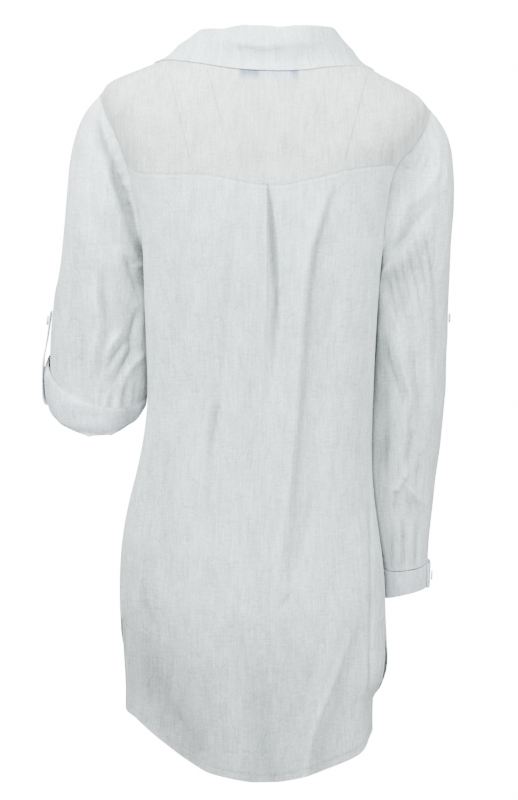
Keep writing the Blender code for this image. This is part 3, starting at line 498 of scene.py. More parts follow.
def linen(name, colour, marks=()):
    """Plain-weave linen: crossed threads with thick and thin places, a soft dry surface, painted
    shade where it folds in and along its fine crease lines, and a painted highlight on its
    ridges. marks are places where something under the thin cloth shows."""
    paint = bpy.data.materials.new(name)
    paint.use_nodes = True
    nodes, links = paint.node_tree.nodes, paint.node_tree.links
    shader = nodes["Principled BSDF"]
    shader.inputs["Roughness"].default_value = 0.82
    shader.inputs["Sheen Weight"].default_value = 0.12
    shader.inputs["Sheen Roughness"].default_value = 0.5
    shader.inputs["Specular IOR Level"].default_value = 0.2
    flat = nodes.new("ShaderNodeUVMap")
    flat.uv_map = "cloth"

    def sums(operation, first, second, clamp=False):
        node = nodes.new("ShaderNodeMath")
        node.operation = operation
        node.use_clamp = clamp
        for socket, value in zip(node.inputs, (first, second)):
            if isinstance(value, (int, float)):
                socket.default_value = value
            else:
                links.new(value, socket)
        return node.outputs["Value"]

    def ramped(value, low, high, start, end):
        node = nodes.new("ShaderNodeMapRange")
        for socket, number in zip(("From Min", "From Max", "To Min", "To Max"),
                                  (low, high, start, end)):
            node.inputs[socket].default_value = number
        links.new(value, node.inputs["Value"])
        return node.outputs["Result"]

    def thread_noise(scale, detail):
        place = nodes.new("ShaderNodeMapping")
        place.inputs["Scale"].default_value = scale
        links.new(flat.outputs["UV"], place.inputs["Vector"])
        wave = nodes.new("ShaderNodeTexNoise")
        wave.noise_dimensions = "2D"
        wave.inputs["Scale"].default_value = 1.0
        wave.inputs["Detail"].default_value = detail
        links.new(place.outputs["Vector"], wave.inputs["Vector"])
        return wave.outputs["Fac"]

    weft = thread_noise((70, 700, 1), 3.0)
    warp = thread_noise((640, 26, 1), 3.0)
    grain = thread_noise((420, 330, 1), 4.0)
    cloud = thread_noise((55, 22, 1), 3.0)
    crinkle = thread_noise((170, 40, 1), 2.0)
    lines_down = sums("ABSOLUTE", sums("SUBTRACT", thread_noise((46, 15, 1), 2.0), 0.5), 0)
    lines_across = sums("ABSOLUTE", sums("SUBTRACT", thread_noise((17, 40, 1), 2.0), 0.5), 0)
    # fine crease lines, raised in relief and painted a little darker as shade in their folds
    creased = sums("ADD", ramped(lines_down, 0, 0.045, 1, 0), ramped(lines_across, 0, 0.03, 0.35, 0))
    slubs = sums("ADD", sums("MULTIPLY", weft, 0.8), sums("MULTIPLY", warp, 1.2))
    tone = nodes.new("ShaderNodeAttribute")
    tone.attribute_name = "tone"
    weave_and_painted_shade = ramped(slubs, 0.7, 1.3, 0.85, 1.12)
    for value, low, high, start, end in (
            (cloud, 0.3, 0.7, 0.92, 1.06), (crinkle, 0.3, 0.7, 0.94, 1.06),
            (grain, 0.3, 0.7, 0.88, 1.11), (creased, 0, 1.2, 1.01, 0.93),
            (tone.outputs["Fac"], -1, 0, FOLD_SHADE, 1), (tone.outputs["Fac"], 0, 1, 1, RIDGE_LIGHT)):
        weave_and_painted_shade = sums("MULTIPLY", weave_and_painted_shade, ramped(value, low, high, start, end))
    tint = nodes.new("ShaderNodeVectorMath")
    tint.operation = "SCALE"
    tint.inputs[0].default_value = colour
    links.new(weave_and_painted_shade, tint.inputs["Scale"])
    colour_now = tint.outputs["Vector"]
    if marks:
        where = nodes.new("ShaderNodeTexCoord")
        parts = nodes.new("ShaderNodeSeparateXYZ")
        links.new(where.outputs["Object"], parts.inputs["Vector"])
        behind = ramped(parts.outputs["Y"], 20 * MM, 30 * MM, 0, 1)
        for x_top, z_top, x_low, z_low, width, soft, strength, colour_under in marks:
            lean = (x_low - x_top) / (z_low - z_top)
            middle = sums("MULTIPLY_ADD", parts.outputs["Z"], lean)
            middle.node.inputs[2].default_value = (x_top - lean * z_top) * MM
            away = sums("ABSOLUTE", sums("SUBTRACT", parts.outputs["X"], middle), 0)
            strip = ramped(away, (width - soft) * MM / 2, (width + soft) * MM / 2, 1, 0)
            top = ramped(parts.outputs["Z"], (z_top - soft) * MM, (z_top + soft) * MM, 1, 0)
            low = ramped(parts.outputs["Z"], (z_low - soft) * MM, (z_low + soft) * MM, 0, 1)
            cover = sums("MULTIPLY", sums("MULTIPLY", strip, top), sums("MULTIPLY", low, behind))
            under = nodes.new("ShaderNodeMix")
            under.data_type = "RGBA"
            under.blend_type = "MULTIPLY"
            under.inputs["B"].default_value = colour_under + (1,)
            links.new(sums("MULTIPLY", cover, strength), under.inputs["Factor"])
            links.new(colour_now, under.inputs["A"])
            colour_now = under.outputs["Result"]
    links.new(colour_now, shader.inputs["Base Color"])
    onto = None
    for height, strength, depth, inwards in ((slubs, 0.35, 0.35, False), (crinkle, 0.8, 1.1, False),
                                             (creased, 0.5, 0.6, True)):
        relief = nodes.new("ShaderNodeBump")
        relief.invert = inwards
        relief.inputs["Strength"].default_value = strength
        relief.inputs["Distance"].default_value = depth * MM
        links.new(height, relief.inputs["Height"])
        if onto:
            links.new(onto, relief.inputs["Normal"])
        onto = relief.outputs["Normal"]
    links.new(onto, shader.inputs["Normal"])
    return paint


def finish_sheet(item, node, material, thick=CLOTH_THICK):
    """Gives a sheet its finish and its thickness inwards, and hides the CAD node that it stands for.
    """
    item.data.materials.append(material)
    reshape(item, "SOLIDIFY", thickness=thick, offset=-1, use_even_offset=False)
    bpy.ops.object.shade_smooth_by_angle(angle=math.radians(60))
    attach(item, "root")
    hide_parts(node)


def mottled(name, roughness, coat, scale, detail, dark, pale):
    """A material with soft uneven places between two colours."""
    paint = bpy.data.materials.new(name)
    paint.use_nodes = True
    nodes, links = paint.node_tree.nodes, paint.node_tree.links
    shader = nodes["Principled BSDF"]
    shader.inputs["Roughness"].default_value = roughness
    shader.inputs["Coat Weight"].default_value = coat
    place = nodes.new("ShaderNodeTexCoord")
    cloud = nodes.new("ShaderNodeTexNoise")
    cloud.inputs["Scale"].default_value = scale
    cloud.inputs["Detail"].default_value = detail
    links.new(place.outputs["Object"], cloud.inputs["Vector"])
    tone = nodes.new("ShaderNodeMix")
    tone.data_type = "RGBA"
    tone.inputs["A"].default_value = dark
    tone.inputs["B"].default_value = pale
    links.new(cloud.outputs["Fac"], tone.inputs["Factor"])
    links.new(tone.outputs["Result"], shader.inputs["Base Color"])
    return paint


thread = mottled("white thread", 0.6, 0, 900, 2, (0.52, 0.54, 0.55, 1), (0.66, 0.68, 0.69, 1))
yoke_linen = linen("white linen, yoke", YOKE_LINEN, SEEN_THROUGH)

YOKE_CREASES = (
    ((90, -32, 5, 0), (86, -81, 7, 0.8), (79, -138, 7, 0)),
    ((131, -47, 6, 0), (142, -81, 8, 1), (146, -127, 8, 0.8), (142, -151, 6, 0)),
    ((159, -61, 5, 0), (168, -87, 5, 1.6), (163, -115, 5, 1.6), (154, -143, 5, 0)),
    ((45, -41, 6, 0), (18, -56, 8, -0.8), (-27, -56, 8, -0.8), (-52, -41, 6, 0)),
    ((34, -93, 8, 0), (5, -138, 10, -0.8), (-21, -143, 9, 0)),
    ((-146, -76, 6, 0), (-151, -104, 7, -0.8), (-147, -136, 6, 0)),
    ((-95, -64, 6, 0), (-112, -104, 8, 0.7), (-120, -138, 7, 0)),
    ((-160, -127, 4, 0), (-149, -136, 4, 1.6), (-142, -145, 4, 0)),
    ((-56, -59, 6, 0), (-63, -104, 8, -0.6), (-72, -143, 6, 0)),
)
back_yoke = smooth_sheet("linen_back_yoke", *outer_sheet("back_yoke", (0, -0.02, -0.25)),
                         3 * MM)
draw_seam_up(back_yoke)
lift(back_yoke, rumple(back_yoke, 0.030, 1.4, 0.5 * MM, 1),
     crease_rise(back_yoke, YOKE_CREASES, 1), all_round)
sew("stitches_yoke", back_yoke, lambda x, y, z: z < -0.012, 1.8 * MM)
seam_allowance(back_yoke, lambda x, y, z: z < -0.012, 2.2 * MM)
cloth_map(back_yoke, lambda point: point.x, lambda point: 0.8 * point.y - point.z)
finish_sheet(back_yoke, "back_yoke", yoke_linen)


# Back. One panel of linen with an inverted pleat under the yoke, felled at the sides down to
# the vents, and hemmed along its curved tail.
LINEN = (0.735, 0.745, 0.750)
TRUNK_MIDDLE = -0.015
TRUNK_RADIUS = 0.125
SEAM_END = -0.655            # the side seams end here and the vents begin
HEM_TOP = -0.66
TAIL_TOP = -0.665
HEM = 9 * MM
HEM_SOFT = 1.2 * MM
HEM_RISE = 0.4 * MM
FELL = 5.5 * MM             # from the edge of a felled side seam to its stitches
white_linen = linen("white linen", LINEN)


def hem_rise(item, width, rise):
    """The thicker cloth of a turned hem, over a width from the tail's edge."""
    inside = width - edge_distance(item, at_tail)
    return rise * np.clip(inside / HEM_SOFT + 0.5, 0, 1)


def at_tail(x, y, z):
    """True along the curved hem and the lower ends of the vents."""
    return z < TAIL_TOP


def at_yoke(x, y, z):
    """True along the back's top edge, at the yoke."""
    return z > -0.20 and abs(x) < 0.150


def near_edge(item, wanted, reach):
    """A test for places within reach of the open edges that wanted picks."""
    away = away_from(edge_chain(item, wanted))
    return lambda x, y, z: away((x, y, z)) < reach


def refine(item, wanted, cuts=1):
    """Cuts the faces finer where wanted(x, y, z) is true, for the sharpest folds."""
    bm = opened(item.data)
    edges = [edge for edge in bm.edges if all(wanted(*vert.co) for vert in edge.verts)]
    bmesh.ops.subdivide_edges(bm, edges=edges, cuts=cuts, use_grid_fill=True)
    closed(bm, item.data)


def painted_edge_shade(item, wanted, inset, width, dark):
    """Painted shade: a grey line along the edges that wanted picks, where cloth dips beside a seam.
    """
    return dark * np.exp(-((edge_distance(item, wanted) - inset) / width) ** 2)


def down(point):
    """How far below the shoulders a point lies."""
    return -point.z


def round_trunk(point):
    """Distance round the body at a point, from the middle of the back."""
    return math.atan2(point.x, point.y - TRUNK_MIDDLE) * TRUNK_RADIUS


BACK_CREASES = (
    ((-2, -170, 1.5, -1.5), (-5, -191, 3, -3.5), (-9, -241, 4.5, -4), (-13, -297, 5, -2.6),
     (-7, -364, 5, -1.2), (-2, -409, 5, 0)),
    ((-1, -170, 1.5, 0.6), (1, -219, 2, 2.0), (1, -297, 2.5, 2.0), (4, -375, 4, 1.6),
     (5, -409, 5, 0.8), (-2, -431, 5, 0)),
    ((18, -169, 3, 0), (24, -202, 4, 1.2), (32, -252, 5, 1), (39, -308, 6, 0)),
    ((-12, -202, 3, 0), (-16, -252, 4, 1.4), (-19, -308, 5, 0.8), (-17, -353, 5, 0)),
    ((26, -185, 5, 0), (37, -263, 6, -1.4), (47, -353, 6, -1), (55, -431, 7, -1.2),
     (62, -499, 7, 0)),
    ((45, -392, 4, 0), (53, -420, 4, -1.6), (60, -454, 4, -1.8), (63, -499, 5, -1),
     (65, -543, 6, 0)),
    ((58, -387, 5, 0), (67, -431, 5, 1.3), (71, -487, 6, 1.1), (70, -555, 7, 0)),
    ((45, -431, 4, 0), (43, -454, 5, 1), (49, -487, 6, 0)),
    ((-72, -167, 3, 0), (-63, -196, 5, 1.6), (-50, -238, 5, 2.2), (-45, -269, 5, 2.4),
     (-39, -340, 5, 2.2), (-35, -409, 6, 2.2), (-27, -499, 6, 2.2), (-19, -566, 7, 1.6),
     (-11, -622, 8, 0)),
    ((-78, -169, 3, 0), (-72, -196, 5, -2.2), (-60, -238, 7, -3), (-54, -286, 8, -2.8),
     (-49, -353, 8, -2.6), (-44, -420, 9, -2.4), (-38, -499, 9, -2), (-31, -566, 10, -1.2),
     (-24, -622, 10, 0)),
    ((-96, -230, 7, 0), (-88, -297, 9, 1.2), (-77, -387, 10, 1.4), (-66, -476, 10, 1.2),
     (-51, -566, 12, 0)),
    ((-56, -487, 6, 0), (-51, -521, 6, -1.2), (-44, -566, 6, -0.8), (-38, -599, 6, 0)),
    ((-119, -297, 7, 0), (-112, -375, 8, -1), (-107, -465, 8, -1), (-110, -543, 8, 0)),
    ((-87, -308, 4, 0), (-80, -342, 4, -0.8), (-74, -381, 4, 0)),
    ((119, -230, 8, 0), (113, -319, 9, 1), (116, -409, 9, 0.8), (119, -487, 9, 0)),
    ((90, -185, 6, 0), (96, -252, 8, -1), (92, -331, 8, -0.8), (85, -398, 8, 0)),
    ((68, -219, 5, 0), (74, -275, 6, 0.8), (76, -342, 6, 0)),
    ((130, -454, 6, 0), (130, -521, 7, -1.2), (130, -588, 8, -1.2), (123, -633, 8, 0)),
    ((138, -611, 4, 0), (135, -639, 4, -2), (123, -661, 5, -1.6), (110, -678, 5, 0)),
    ((119, -588, 7, 0), (108, -633, 8, 1.2), (91, -678, 9, 0.8), (74, -711, 9, 0)),
    ((141, -588, 4, 0), (145, -633, 5, 1.4), (141, -678, 5, 0)),
    ((-16, -644, 3, 0), (-22, -633, 3, -1.2), (-27, -624, 3, 0)),
    ((29, -633, 4, 0), (18, -650, 4, 0.7), (5, -658, 4, 0)),
    ((90, -689, 3, 0), (79, -695, 3, -0.8), (67, -696, 3, 0)),
    ((-105, -639, 4, 0), (-96, -667, 5, 1.6), (-88, -689, 4, 1.5), (-77, -718, 4, 1.5),
     (-67, -742, 4, 1.4), (-58, -762, 4, 1.4), (-49, -794, 4, 1.3), (-44, -829, 5, 1.2)),
    ((-112, -655, 6, 0), (-98, -700, 8, -0.7), (-83, -745, 9, -0.8), (-69, -784, 9, -0.8),
     (-63, -829, 9, -0.7)),
    ((-72, -644, 9, 0), (-58, -700, 10, -0.8), (-38, -756, 10, -0.6), (-27, -801, 10, 0)),
    ((108, -745, 6, 0), (101, -762, 6, -1.2), (85, -784, 7, -1), (68, -801, 7, 0)),
    ((130, -689, 8, 0), (128, -734, 8, -1.2), (119, -767, 8, -1), (108, -790, 8, 0)),
    ((40, -678, 10, 0), (34, -745, 12, 1), (29, -823, 12, 0.8)),
    ((5, -689, 9, 0), (-4, -756, 10, -0.8), (-11, -829, 10, -0.6)),
    # these broad shallow dents are there mostly for the painted shade they give the lower left and
    # the middle of the back
    ((142, -560, 24, 0), (134, -660, 30, -3.6), (116, -740, 36, -5.6), (84, -800, 30, -3.8)),
    ((30, -620, 60, 0), (10, -720, 80, -3.2), (0, -840, 80, -3.4)),
    ((-2, -400, 40, 0), (-4, -470, 55, -0.9), (-4, -560, 55, -0.9), (0, -620, 50, 0)),
    ((-118, -496, 2.5, 0), (-119, -560, 2.5, -1.3), (-119, -640, 2.5, -1.7),
     (-118, -720, 2.5, -1.7), (-117, -742, 2.5, 0)),
)
TAIL_IN = (                  # millimetres: height, how far the right edge of the tail lies in
    (-880, 9), (-820, 10), (-770, 13), (-748, 13), (-740, 9), (-729, 4), (-716, 1.5), (-700, 0),
)
PAINTED_SEAM_LINES = (               # painted shade along seams: where, millimetres in from the edge, millimetres wide, how dark (below 0, a painted highlight)
    (at_tail, 9, 1.2, 0.8), (at_yoke, 0, 1.1, 0.7), (at_yoke, 3.4, 1.3, -0.35),
    (at_yoke, 6.0, 0.9, 0.25),
)
TAIL_SIDE = 60 * MM         # how far from the middle the tail starts to lie in
TAIL_SIDE_WIDTH = 70 * MM
back_panel = smooth_sheet("linen_back", *outer_sheet("back_panel", (0, -0.02, None)))
points, _ = places(back_panel)
height, inwards = np.array(TAIL_IN).T * MM
outer = np.clip((-points[:, 0] - TAIL_SIDE) / TAIL_SIDE_WIDTH, 0, 1) ** 2
points[:, 0] += np.interp(points[:, 2], height, inwards) * outer
move_to(back_panel, points)
refine(back_panel, lambda x, y, z: y > 0 and -0.016 < x < 0.009 and z > -0.30)
refine(back_panel, near_edge(back_panel, lambda x, y, z: z < -0.70, HEM + 2 * MM))
refine(back_panel, near_edge(back_panel, at_yoke, 7 * MM), 2)
draw_seam_up(back_panel)
# Creases paint light and shade into the tone, and seam lines paint shade along the hem and the yoke
# seam, with a painted highlight just below the yoke seam.
lift(back_panel, rumple(back_panel, 0.026, 2.6, 0.6 * MM, 2)
     + rumple(back_panel, 0.011, 2.0, 0.2 * MM, 3) + hem_rise(back_panel, HEM, HEM_RISE),
     crease_rise(back_panel, BACK_CREASES, 1), lambda x, y, z: z > HEM_TOP,
     sum(painted_edge_shade(back_panel, where, inset * MM, width * MM, dark)
         for where, inset, width, dark in PAINTED_SEAM_LINES))
sew("stitches_back_sides", back_panel,
    lambda x, y, z: SEAM_END < z and abs(x) > 0.128, FELL)
sew("stitches_back_hem", back_panel, lambda x, y, z: z < HEM_TOP, HEM)
seam_allowance(back_panel, lambda x, y, z: z > SEAM_END)
cloth_map(back_panel, round_trunk, down)
finish_sheet(back_panel, "back_panel", white_linen)


# Fronts. Two panels of the same linen from the neck to the tail, plain but for the soft folds
# that hang from the bust, and hemmed along their curved tails.
FRONT_LEFT_CREASES = (
    ((60, -150, 6, 0), (78, -200, 8, 1.4), (88, -270, 9, 1.6), (92, -380, 10, 1.2),
     (96, -500, 10, 0)),
    ((112, -190, 6, 0), (100, -240, 7, -2), (88, -310, 8, -1.8), (80, -420, 9, -1.2),
     (76, -560, 9, 0)),
    ((46, -260, 5, 0), (52, -330, 6, 1.6), (50, -430, 6, 1.4), (56, -560, 7, 1.2),
     (60, -700, 8, 0)),
    ((38, -300, 4, 0), (40, -400, 5, -1.2), (38, -520, 5, -1.2), (42, -640, 6, 0)),
    ((118, -420, 6, 0), (112, -520, 7, 1.4), (100, -640, 8, 1.2), (92, -760, 8, 0)),
    ((70, -560, 6, 0), (80, -640, 7, -1.4), (84, -720, 8, -1.4), (86, -800, 8, 0)),
    ((30, -640, 6, 0), (36, -720, 7, 1.2), (34, -800, 8, 0.8)),
)
FRONT_RIGHT_CREASES = (
    ((-58, -150, 6, 0), (-70, -210, 8, 1.4), (-80, -290, 9, 1.5), (-82, -400, 10, 1.0),
     (-80, -500, 10, 0)),
    ((-108, -190, 6, 0), (-96, -250, 7, -2), (-82, -330, 8, -1.8), (-70, -440, 9, -1.2),
     (-64, -540, 9, 0)),
    ((-44, -280, 5, 0), (-50, -350, 6, 1.5), (-46, -450, 6, 1.4), (-50, -580, 7, 1.0),
     (-56, -700, 8, 0)),
    ((-32, -330, 4, 0), (-34, -430, 5, -1.2), (-36, -560, 5, 0)),
    ((-104, -440, 6, 0), (-98, -540, 7, 1.3), (-84, -660, 8, 1.2), (-76, -770, 8, 0)),
    ((-60, -600, 6, 0), (-70, -680, 7, -1.4), (-72, -760, 8, -1.0), (-70, -800, 8, 0)),
)
FRONT_HEM = 8 * MM
fronts = []
for side, creases, seed in (("left", FRONT_LEFT_CREASES, 4), ("right", FRONT_RIGHT_CREASES, 6)):
    front = smooth_sheet("linen_front_" + side, *outer_sheet("front_" + side, (0, 0, None)))
    lift(front, rumple(front, 0.028, 2.4, 0.6 * MM, seed)
         + rumple(front, 0.012, 2.0, 0.2 * MM, seed + 1)
         + hem_rise(front, FRONT_HEM, HEM_RISE),
         crease_rise(front, creases, -1), lambda x, y, z: z > HEM_TOP)
    sew("stitches_front_sides_" + side, front,
        lambda x, y, z: SEAM_END < z < -0.04 and abs(x) > 0.10, FELL)
    sew("stitches_front_hem_" + side, front,
        lambda x, y, z: z < HEM_TOP and abs(x) > 0.02, HEM)
    seam_allowance(front, lambda x, y, z: SEAM_END < z < (-0.09 if abs(x) > 0.15 else 0.1))
    cloth_map(front, round_trunk, down)
    finish_sheet(front, "front_" + side, white_linen)
    fronts.append(front)


# Button bands. Two strips of doubled linen sewn to the fronts' edges; the right one laps over
# the left, and both fall open above the first fastened button.
LINEN_DOUBLE = (0.740, 0.752, 0.800)
DOUBLE_THICK = 1.2 * MM
white_linen_double = linen("white linen, two layers", LINEN_DOUBLE)
for side, seed in (("left", 8), ("right", 9)):
    band = smooth_sheet("linen_band_" + side, *outer_sheet("band_" + side, (0, 0, None)))
    lift(band, rumple(band, 0.02, 2.0, 0.3 * MM, seed))
    sew("stitches_band_" + side, band, all_round, 2.2 * MM)
    cloth_map(band, round_trunk, down)
    finish_sheet(band, "band_" + side, white_linen_double, DOUBLE_THICK)


# Collar. A low stand of doubled linen sewn round the neck, and a wide leaf that turns down
# over it and lies open on the shoulders.
COLLAR_TOP = (               # millimetres: across, rise of the fold's line
    (-120, -1), (-77, -3), (-52, -1), (-34, 0), (-13, -2.2), (8, -1), (27, 0.6), (40, -2),
    (52, -5), (75, -5.5), (110, -1),
)
COLLAR_IN = (                # millimetres: height, how far the right and left side lie inwards
    (-70, 0, 0), (-45, 3, 0), (-28, 5, 1), (-12, 5, 1.5), (2, 5, 5), (16, 4, 6.5), (30, 4, 6.5),
)
COLLAR_FOOT = -20 * MM
COLLAR_HIGH = 30 * MM
COLLAR_HALF = 70 * MM
FURTHEST_DROP = 15 * MM
DROP_CURVE = 1.4


def slump(item):
    """Gives the soft collar its uneven top line and lets its sides sink in."""
    points, _ = places(item)
    across, rise = np.array(COLLAR_TOP).T * MM
    height, right, left = np.array(COLLAR_IN).T * MM
    high = np.clip((points[:, 2] - COLLAR_FOOT) / COLLAR_HIGH, 0, 1)
    inwards = np.where(points[:, 0] < 0, np.interp(points[:, 2], height, right),
                       -np.interp(points[:, 2], height, left))
    side = np.clip(np.abs(points[:, 0]) / COLLAR_HALF, 0, 1) ** 2
    points[:, 2] += np.interp(points[:, 0], across, rise) * high
    points[:, 0] += inwards * side
    move_to(item, points)


def settle(item, under, gap, reach):
    """Lets the edge of a piece down onto the pieces under it, softly over its last reach."""
    trees = []
    for other in under:
        bm = opened(other.data)
        trees.append(BVHTree.FromBMesh(bm))
        bm.free()
    points, normals = places(item)
    edge = edge_distance(item, lambda x, y, z: y > -0.035 and z < -0.010)
    for number, point in enumerate(points):
        part = 1 - edge[number] / reach
        if part <= 0:
            continue
        hits = [tree.find_nearest(Vector(point), FURTHEST_DROP) for tree in trees]
        away = min((hit[3] for hit in hits if hit[0] is not None), default=gap)
        points[number] -= normals[number] * (away - gap) * min(1, part * DROP_CURVE)
    move_to(item, points)


collar_stand = smooth_sheet("linen_collar_stand",
                            *outer_sheet("collar_stand", (0, -0.03, None)))
slump(collar_stand)
lift(collar_stand, rumple(collar_stand, 0.02, 1.0, 0.3 * MM, 10))
cloth_map(collar_stand, round_trunk, down)
finish_sheet(collar_stand, "collar_stand", white_linen_double, DOUBLE_THICK)

COLLAR_CREASES = (
    ((90, -20, 6, 0), (70, -16, 7, -0.8), (50, -20, 7, 0)),
    ((-30, 4, 6, 0), (-50, -4, 7, 0.8), (-76, -12, 8, 0)),
    ((-56, 12, 14, 0), (-76, 2, 18, -1.8), (-104, -20, 18, -1.6)),
)
collar_leaf = smooth_sheet("linen_collar_leaf",
                           *outer_sheet("collar_leaf", (0, -0.03, -0.12)), 3 * MM)
slump(collar_leaf)
settle(collar_leaf, (back_yoke, *fronts), 2.0 * MM, 30 * MM)
lift(collar_leaf, rumple(collar_leaf, 0.035, 1.0, 0.5 * MM, 11),
     crease_rise(collar_leaf, COLLAR_CREASES, 1))
sew("stitches_collar", collar_leaf,
    lambda x, y, z: math.hypot(x, y + 0.02) > 0.093, 5.0 * MM)
cloth_map(collar_leaf,
          lambda point: point.x + (0.04 - 0.5 * point.y) * max(-1, min(1, point.x / 0.04)), down)
finish_sheet(collar_leaf, "collar_leaf", white_linen_double, 1.3 * MM)


# Sleeves. Each is one piece of linen, felled to the armhole and along its underarm. The left
# one is pushed up by its roll and gathers above it; the right one hangs down to its cuff.
LEFT_CREASES = (
    ((193, -84, 4, 0), (188, -97, 5, -1.8), (180, -119, 6, -2.8), (172, -136, 6, -3.2),
     (163, -165, 7, -3.8), (156, -187, 7, -4.2), (150, -210, 6, -4.2), (145, -228, 6, -3.4),
     (142, -247, 5, -1.6)),
    ((188, -108, 3, 0), (179, -108, 3, 1.2), (172, -112, 3, 0)),
    ((183, -120, 3, 0), (174, -121, 3, 1.2), (167, -126, 3, 0)),
    ((179, -132, 3, 0), (169, -134, 3, 1.2), (162, -140, 3, 0)),
    ((174, -146, 3, 0), (165, -149, 3, 1.2), (157, -154, 3, 0)),
    ((169, -160, 3, 0), (160, -164, 3, 1.2), (153, -171, 3, 0)),
    ((164, -176, 3, 0), (156, -181, 3, 1.2), (150, -188, 3, 0)),
    ((199, -104, 5, 0), (193, -124, 6, 1.4), (185, -146, 6, 1.6), (176, -172, 6, 1.8),
     (169, -200, 6, 1.8), (160, -228, 6, 1.6), (153, -246, 5, 0)),
    ((163, -236, 5, 0), (153, -255, 6, -3.2), (147, -278, 6, -2), (145, -300, 5, 0)),
    ((193, -87, 6, 0), (200, -122, 7, 1.2), (202, -179, 7, 0.8), (205, -225, 7, 0)),
    ((182, -122, 5, 0), (179, -162, 5, 1.8), (170, -185, 5, 1.6), (159, -208, 5, 0)),
    ((209, -145, 7, 0), (211, -214, 8, -1), (214, -283, 8, -0.8), (221, -340, 8, 0)),
    ((191, -242, 5, 0), (193, -271, 4, 1.4), (192, -311, 4, 1.8), (190, -327, 4, 1.6),
     (197, -362, 5, 1.5), (200, -386, 4, 0)),
    ((182, -257, 5, 0), (183, -294, 5, -1.4), (179, -329, 5, -1.2), (186, -365, 5, -1.2),
     (191, -392, 4, 0)),
    ((144, -301, 4, 0), (149, -319, 4, -2.2), (154, -339, 4, -2.2), (153, -352, 4, -2.2),
     (161, -368, 4, -2.4), (177, -395, 4, 0)),
    ((140, -354, 4, 0), (148, -364, 4, 2.2), (156, -373, 4, 2.2), (163, -392, 4, 1.2),
     (167, -407, 4, 0)),
    ((163, -326, 4, 0), (170, -338, 3.5, 1.8), (178, -350, 3.5, 1.6), (187, -370, 4, 0)),
    ((157, -338, 3.5, 0), (167, -352, 3, -1.8), (175, -364, 3, -1.6), (182, -379, 3, 0)),
    ((225, -294, 7, 0), (228, -340, 8, 1), (223, -377, 6, 0)),
    ((205, -329, 6, 0), (209, -363, 6, -1.2), (207, -398, 5, 0)),
    ((182, -400, 3, 0), (183, -411, 2.5, 1.2), (183, -423, 2.5, 0.8)),
    ((175, -398, 3, 0), (176, -410, 2.5, -1.2), (176, -423, 2.5, -0.8)),
    ((169, -398, 3, 0), (169, -410, 2.5, 1.2), (170, -423, 2.5, 0.8)),
    ((192, -395, 3, 0), (192, -409, 2.5, 1), (193, -420, 2.5, 0.8)),
    ((159, -377, 3, 0), (161, -398, 2.5, -1.4), (162, -420, 2.5, -1)),
    ((153, -372, 3, 0), (155, -395, 2.5, 1.2), (156, -418, 2.5, 0.8)),
)
LEFT_FRONT_CREASES = (
    ((176, -130, 6, 0), (182, -180, 7, 1.6), (190, -240, 7, 1.2), (192, -290, 7, 0)),
    ((160, -200, 5, 0), (166, -240, 6, -1.8), (176, -290, 6, -1.4), (186, -340, 6, 0)),
    ((150, -270, 4, 0), (160, -300, 4, 2), (176, -330, 4, 1.6), (194, -350, 4, 0)),
    ((146, -310, 4, 0), (160, -335, 4, -2), (178, -360, 4, -1.6), (190, -376, 4, 0)),
    ((215, -280, 6, 0), (212, -330, 6, 1.2), (206, -380, 5, 0)),
    ((222, -200, 7, 0), (220, -270, 8, -1.0), (224, -340, 7, 0)),
    ((168, -350, 3.5, 0), (170, -372, 3, 1.4), (168, -395, 3, 1)),
    ((178, -356, 3.5, 0), (180, -378, 3, -1.4), (180, -398, 3, -1)),
    ((198, -352, 3.5, 0), (200, -376, 3, 1.2), (198, -396, 3, 0.8)),
)
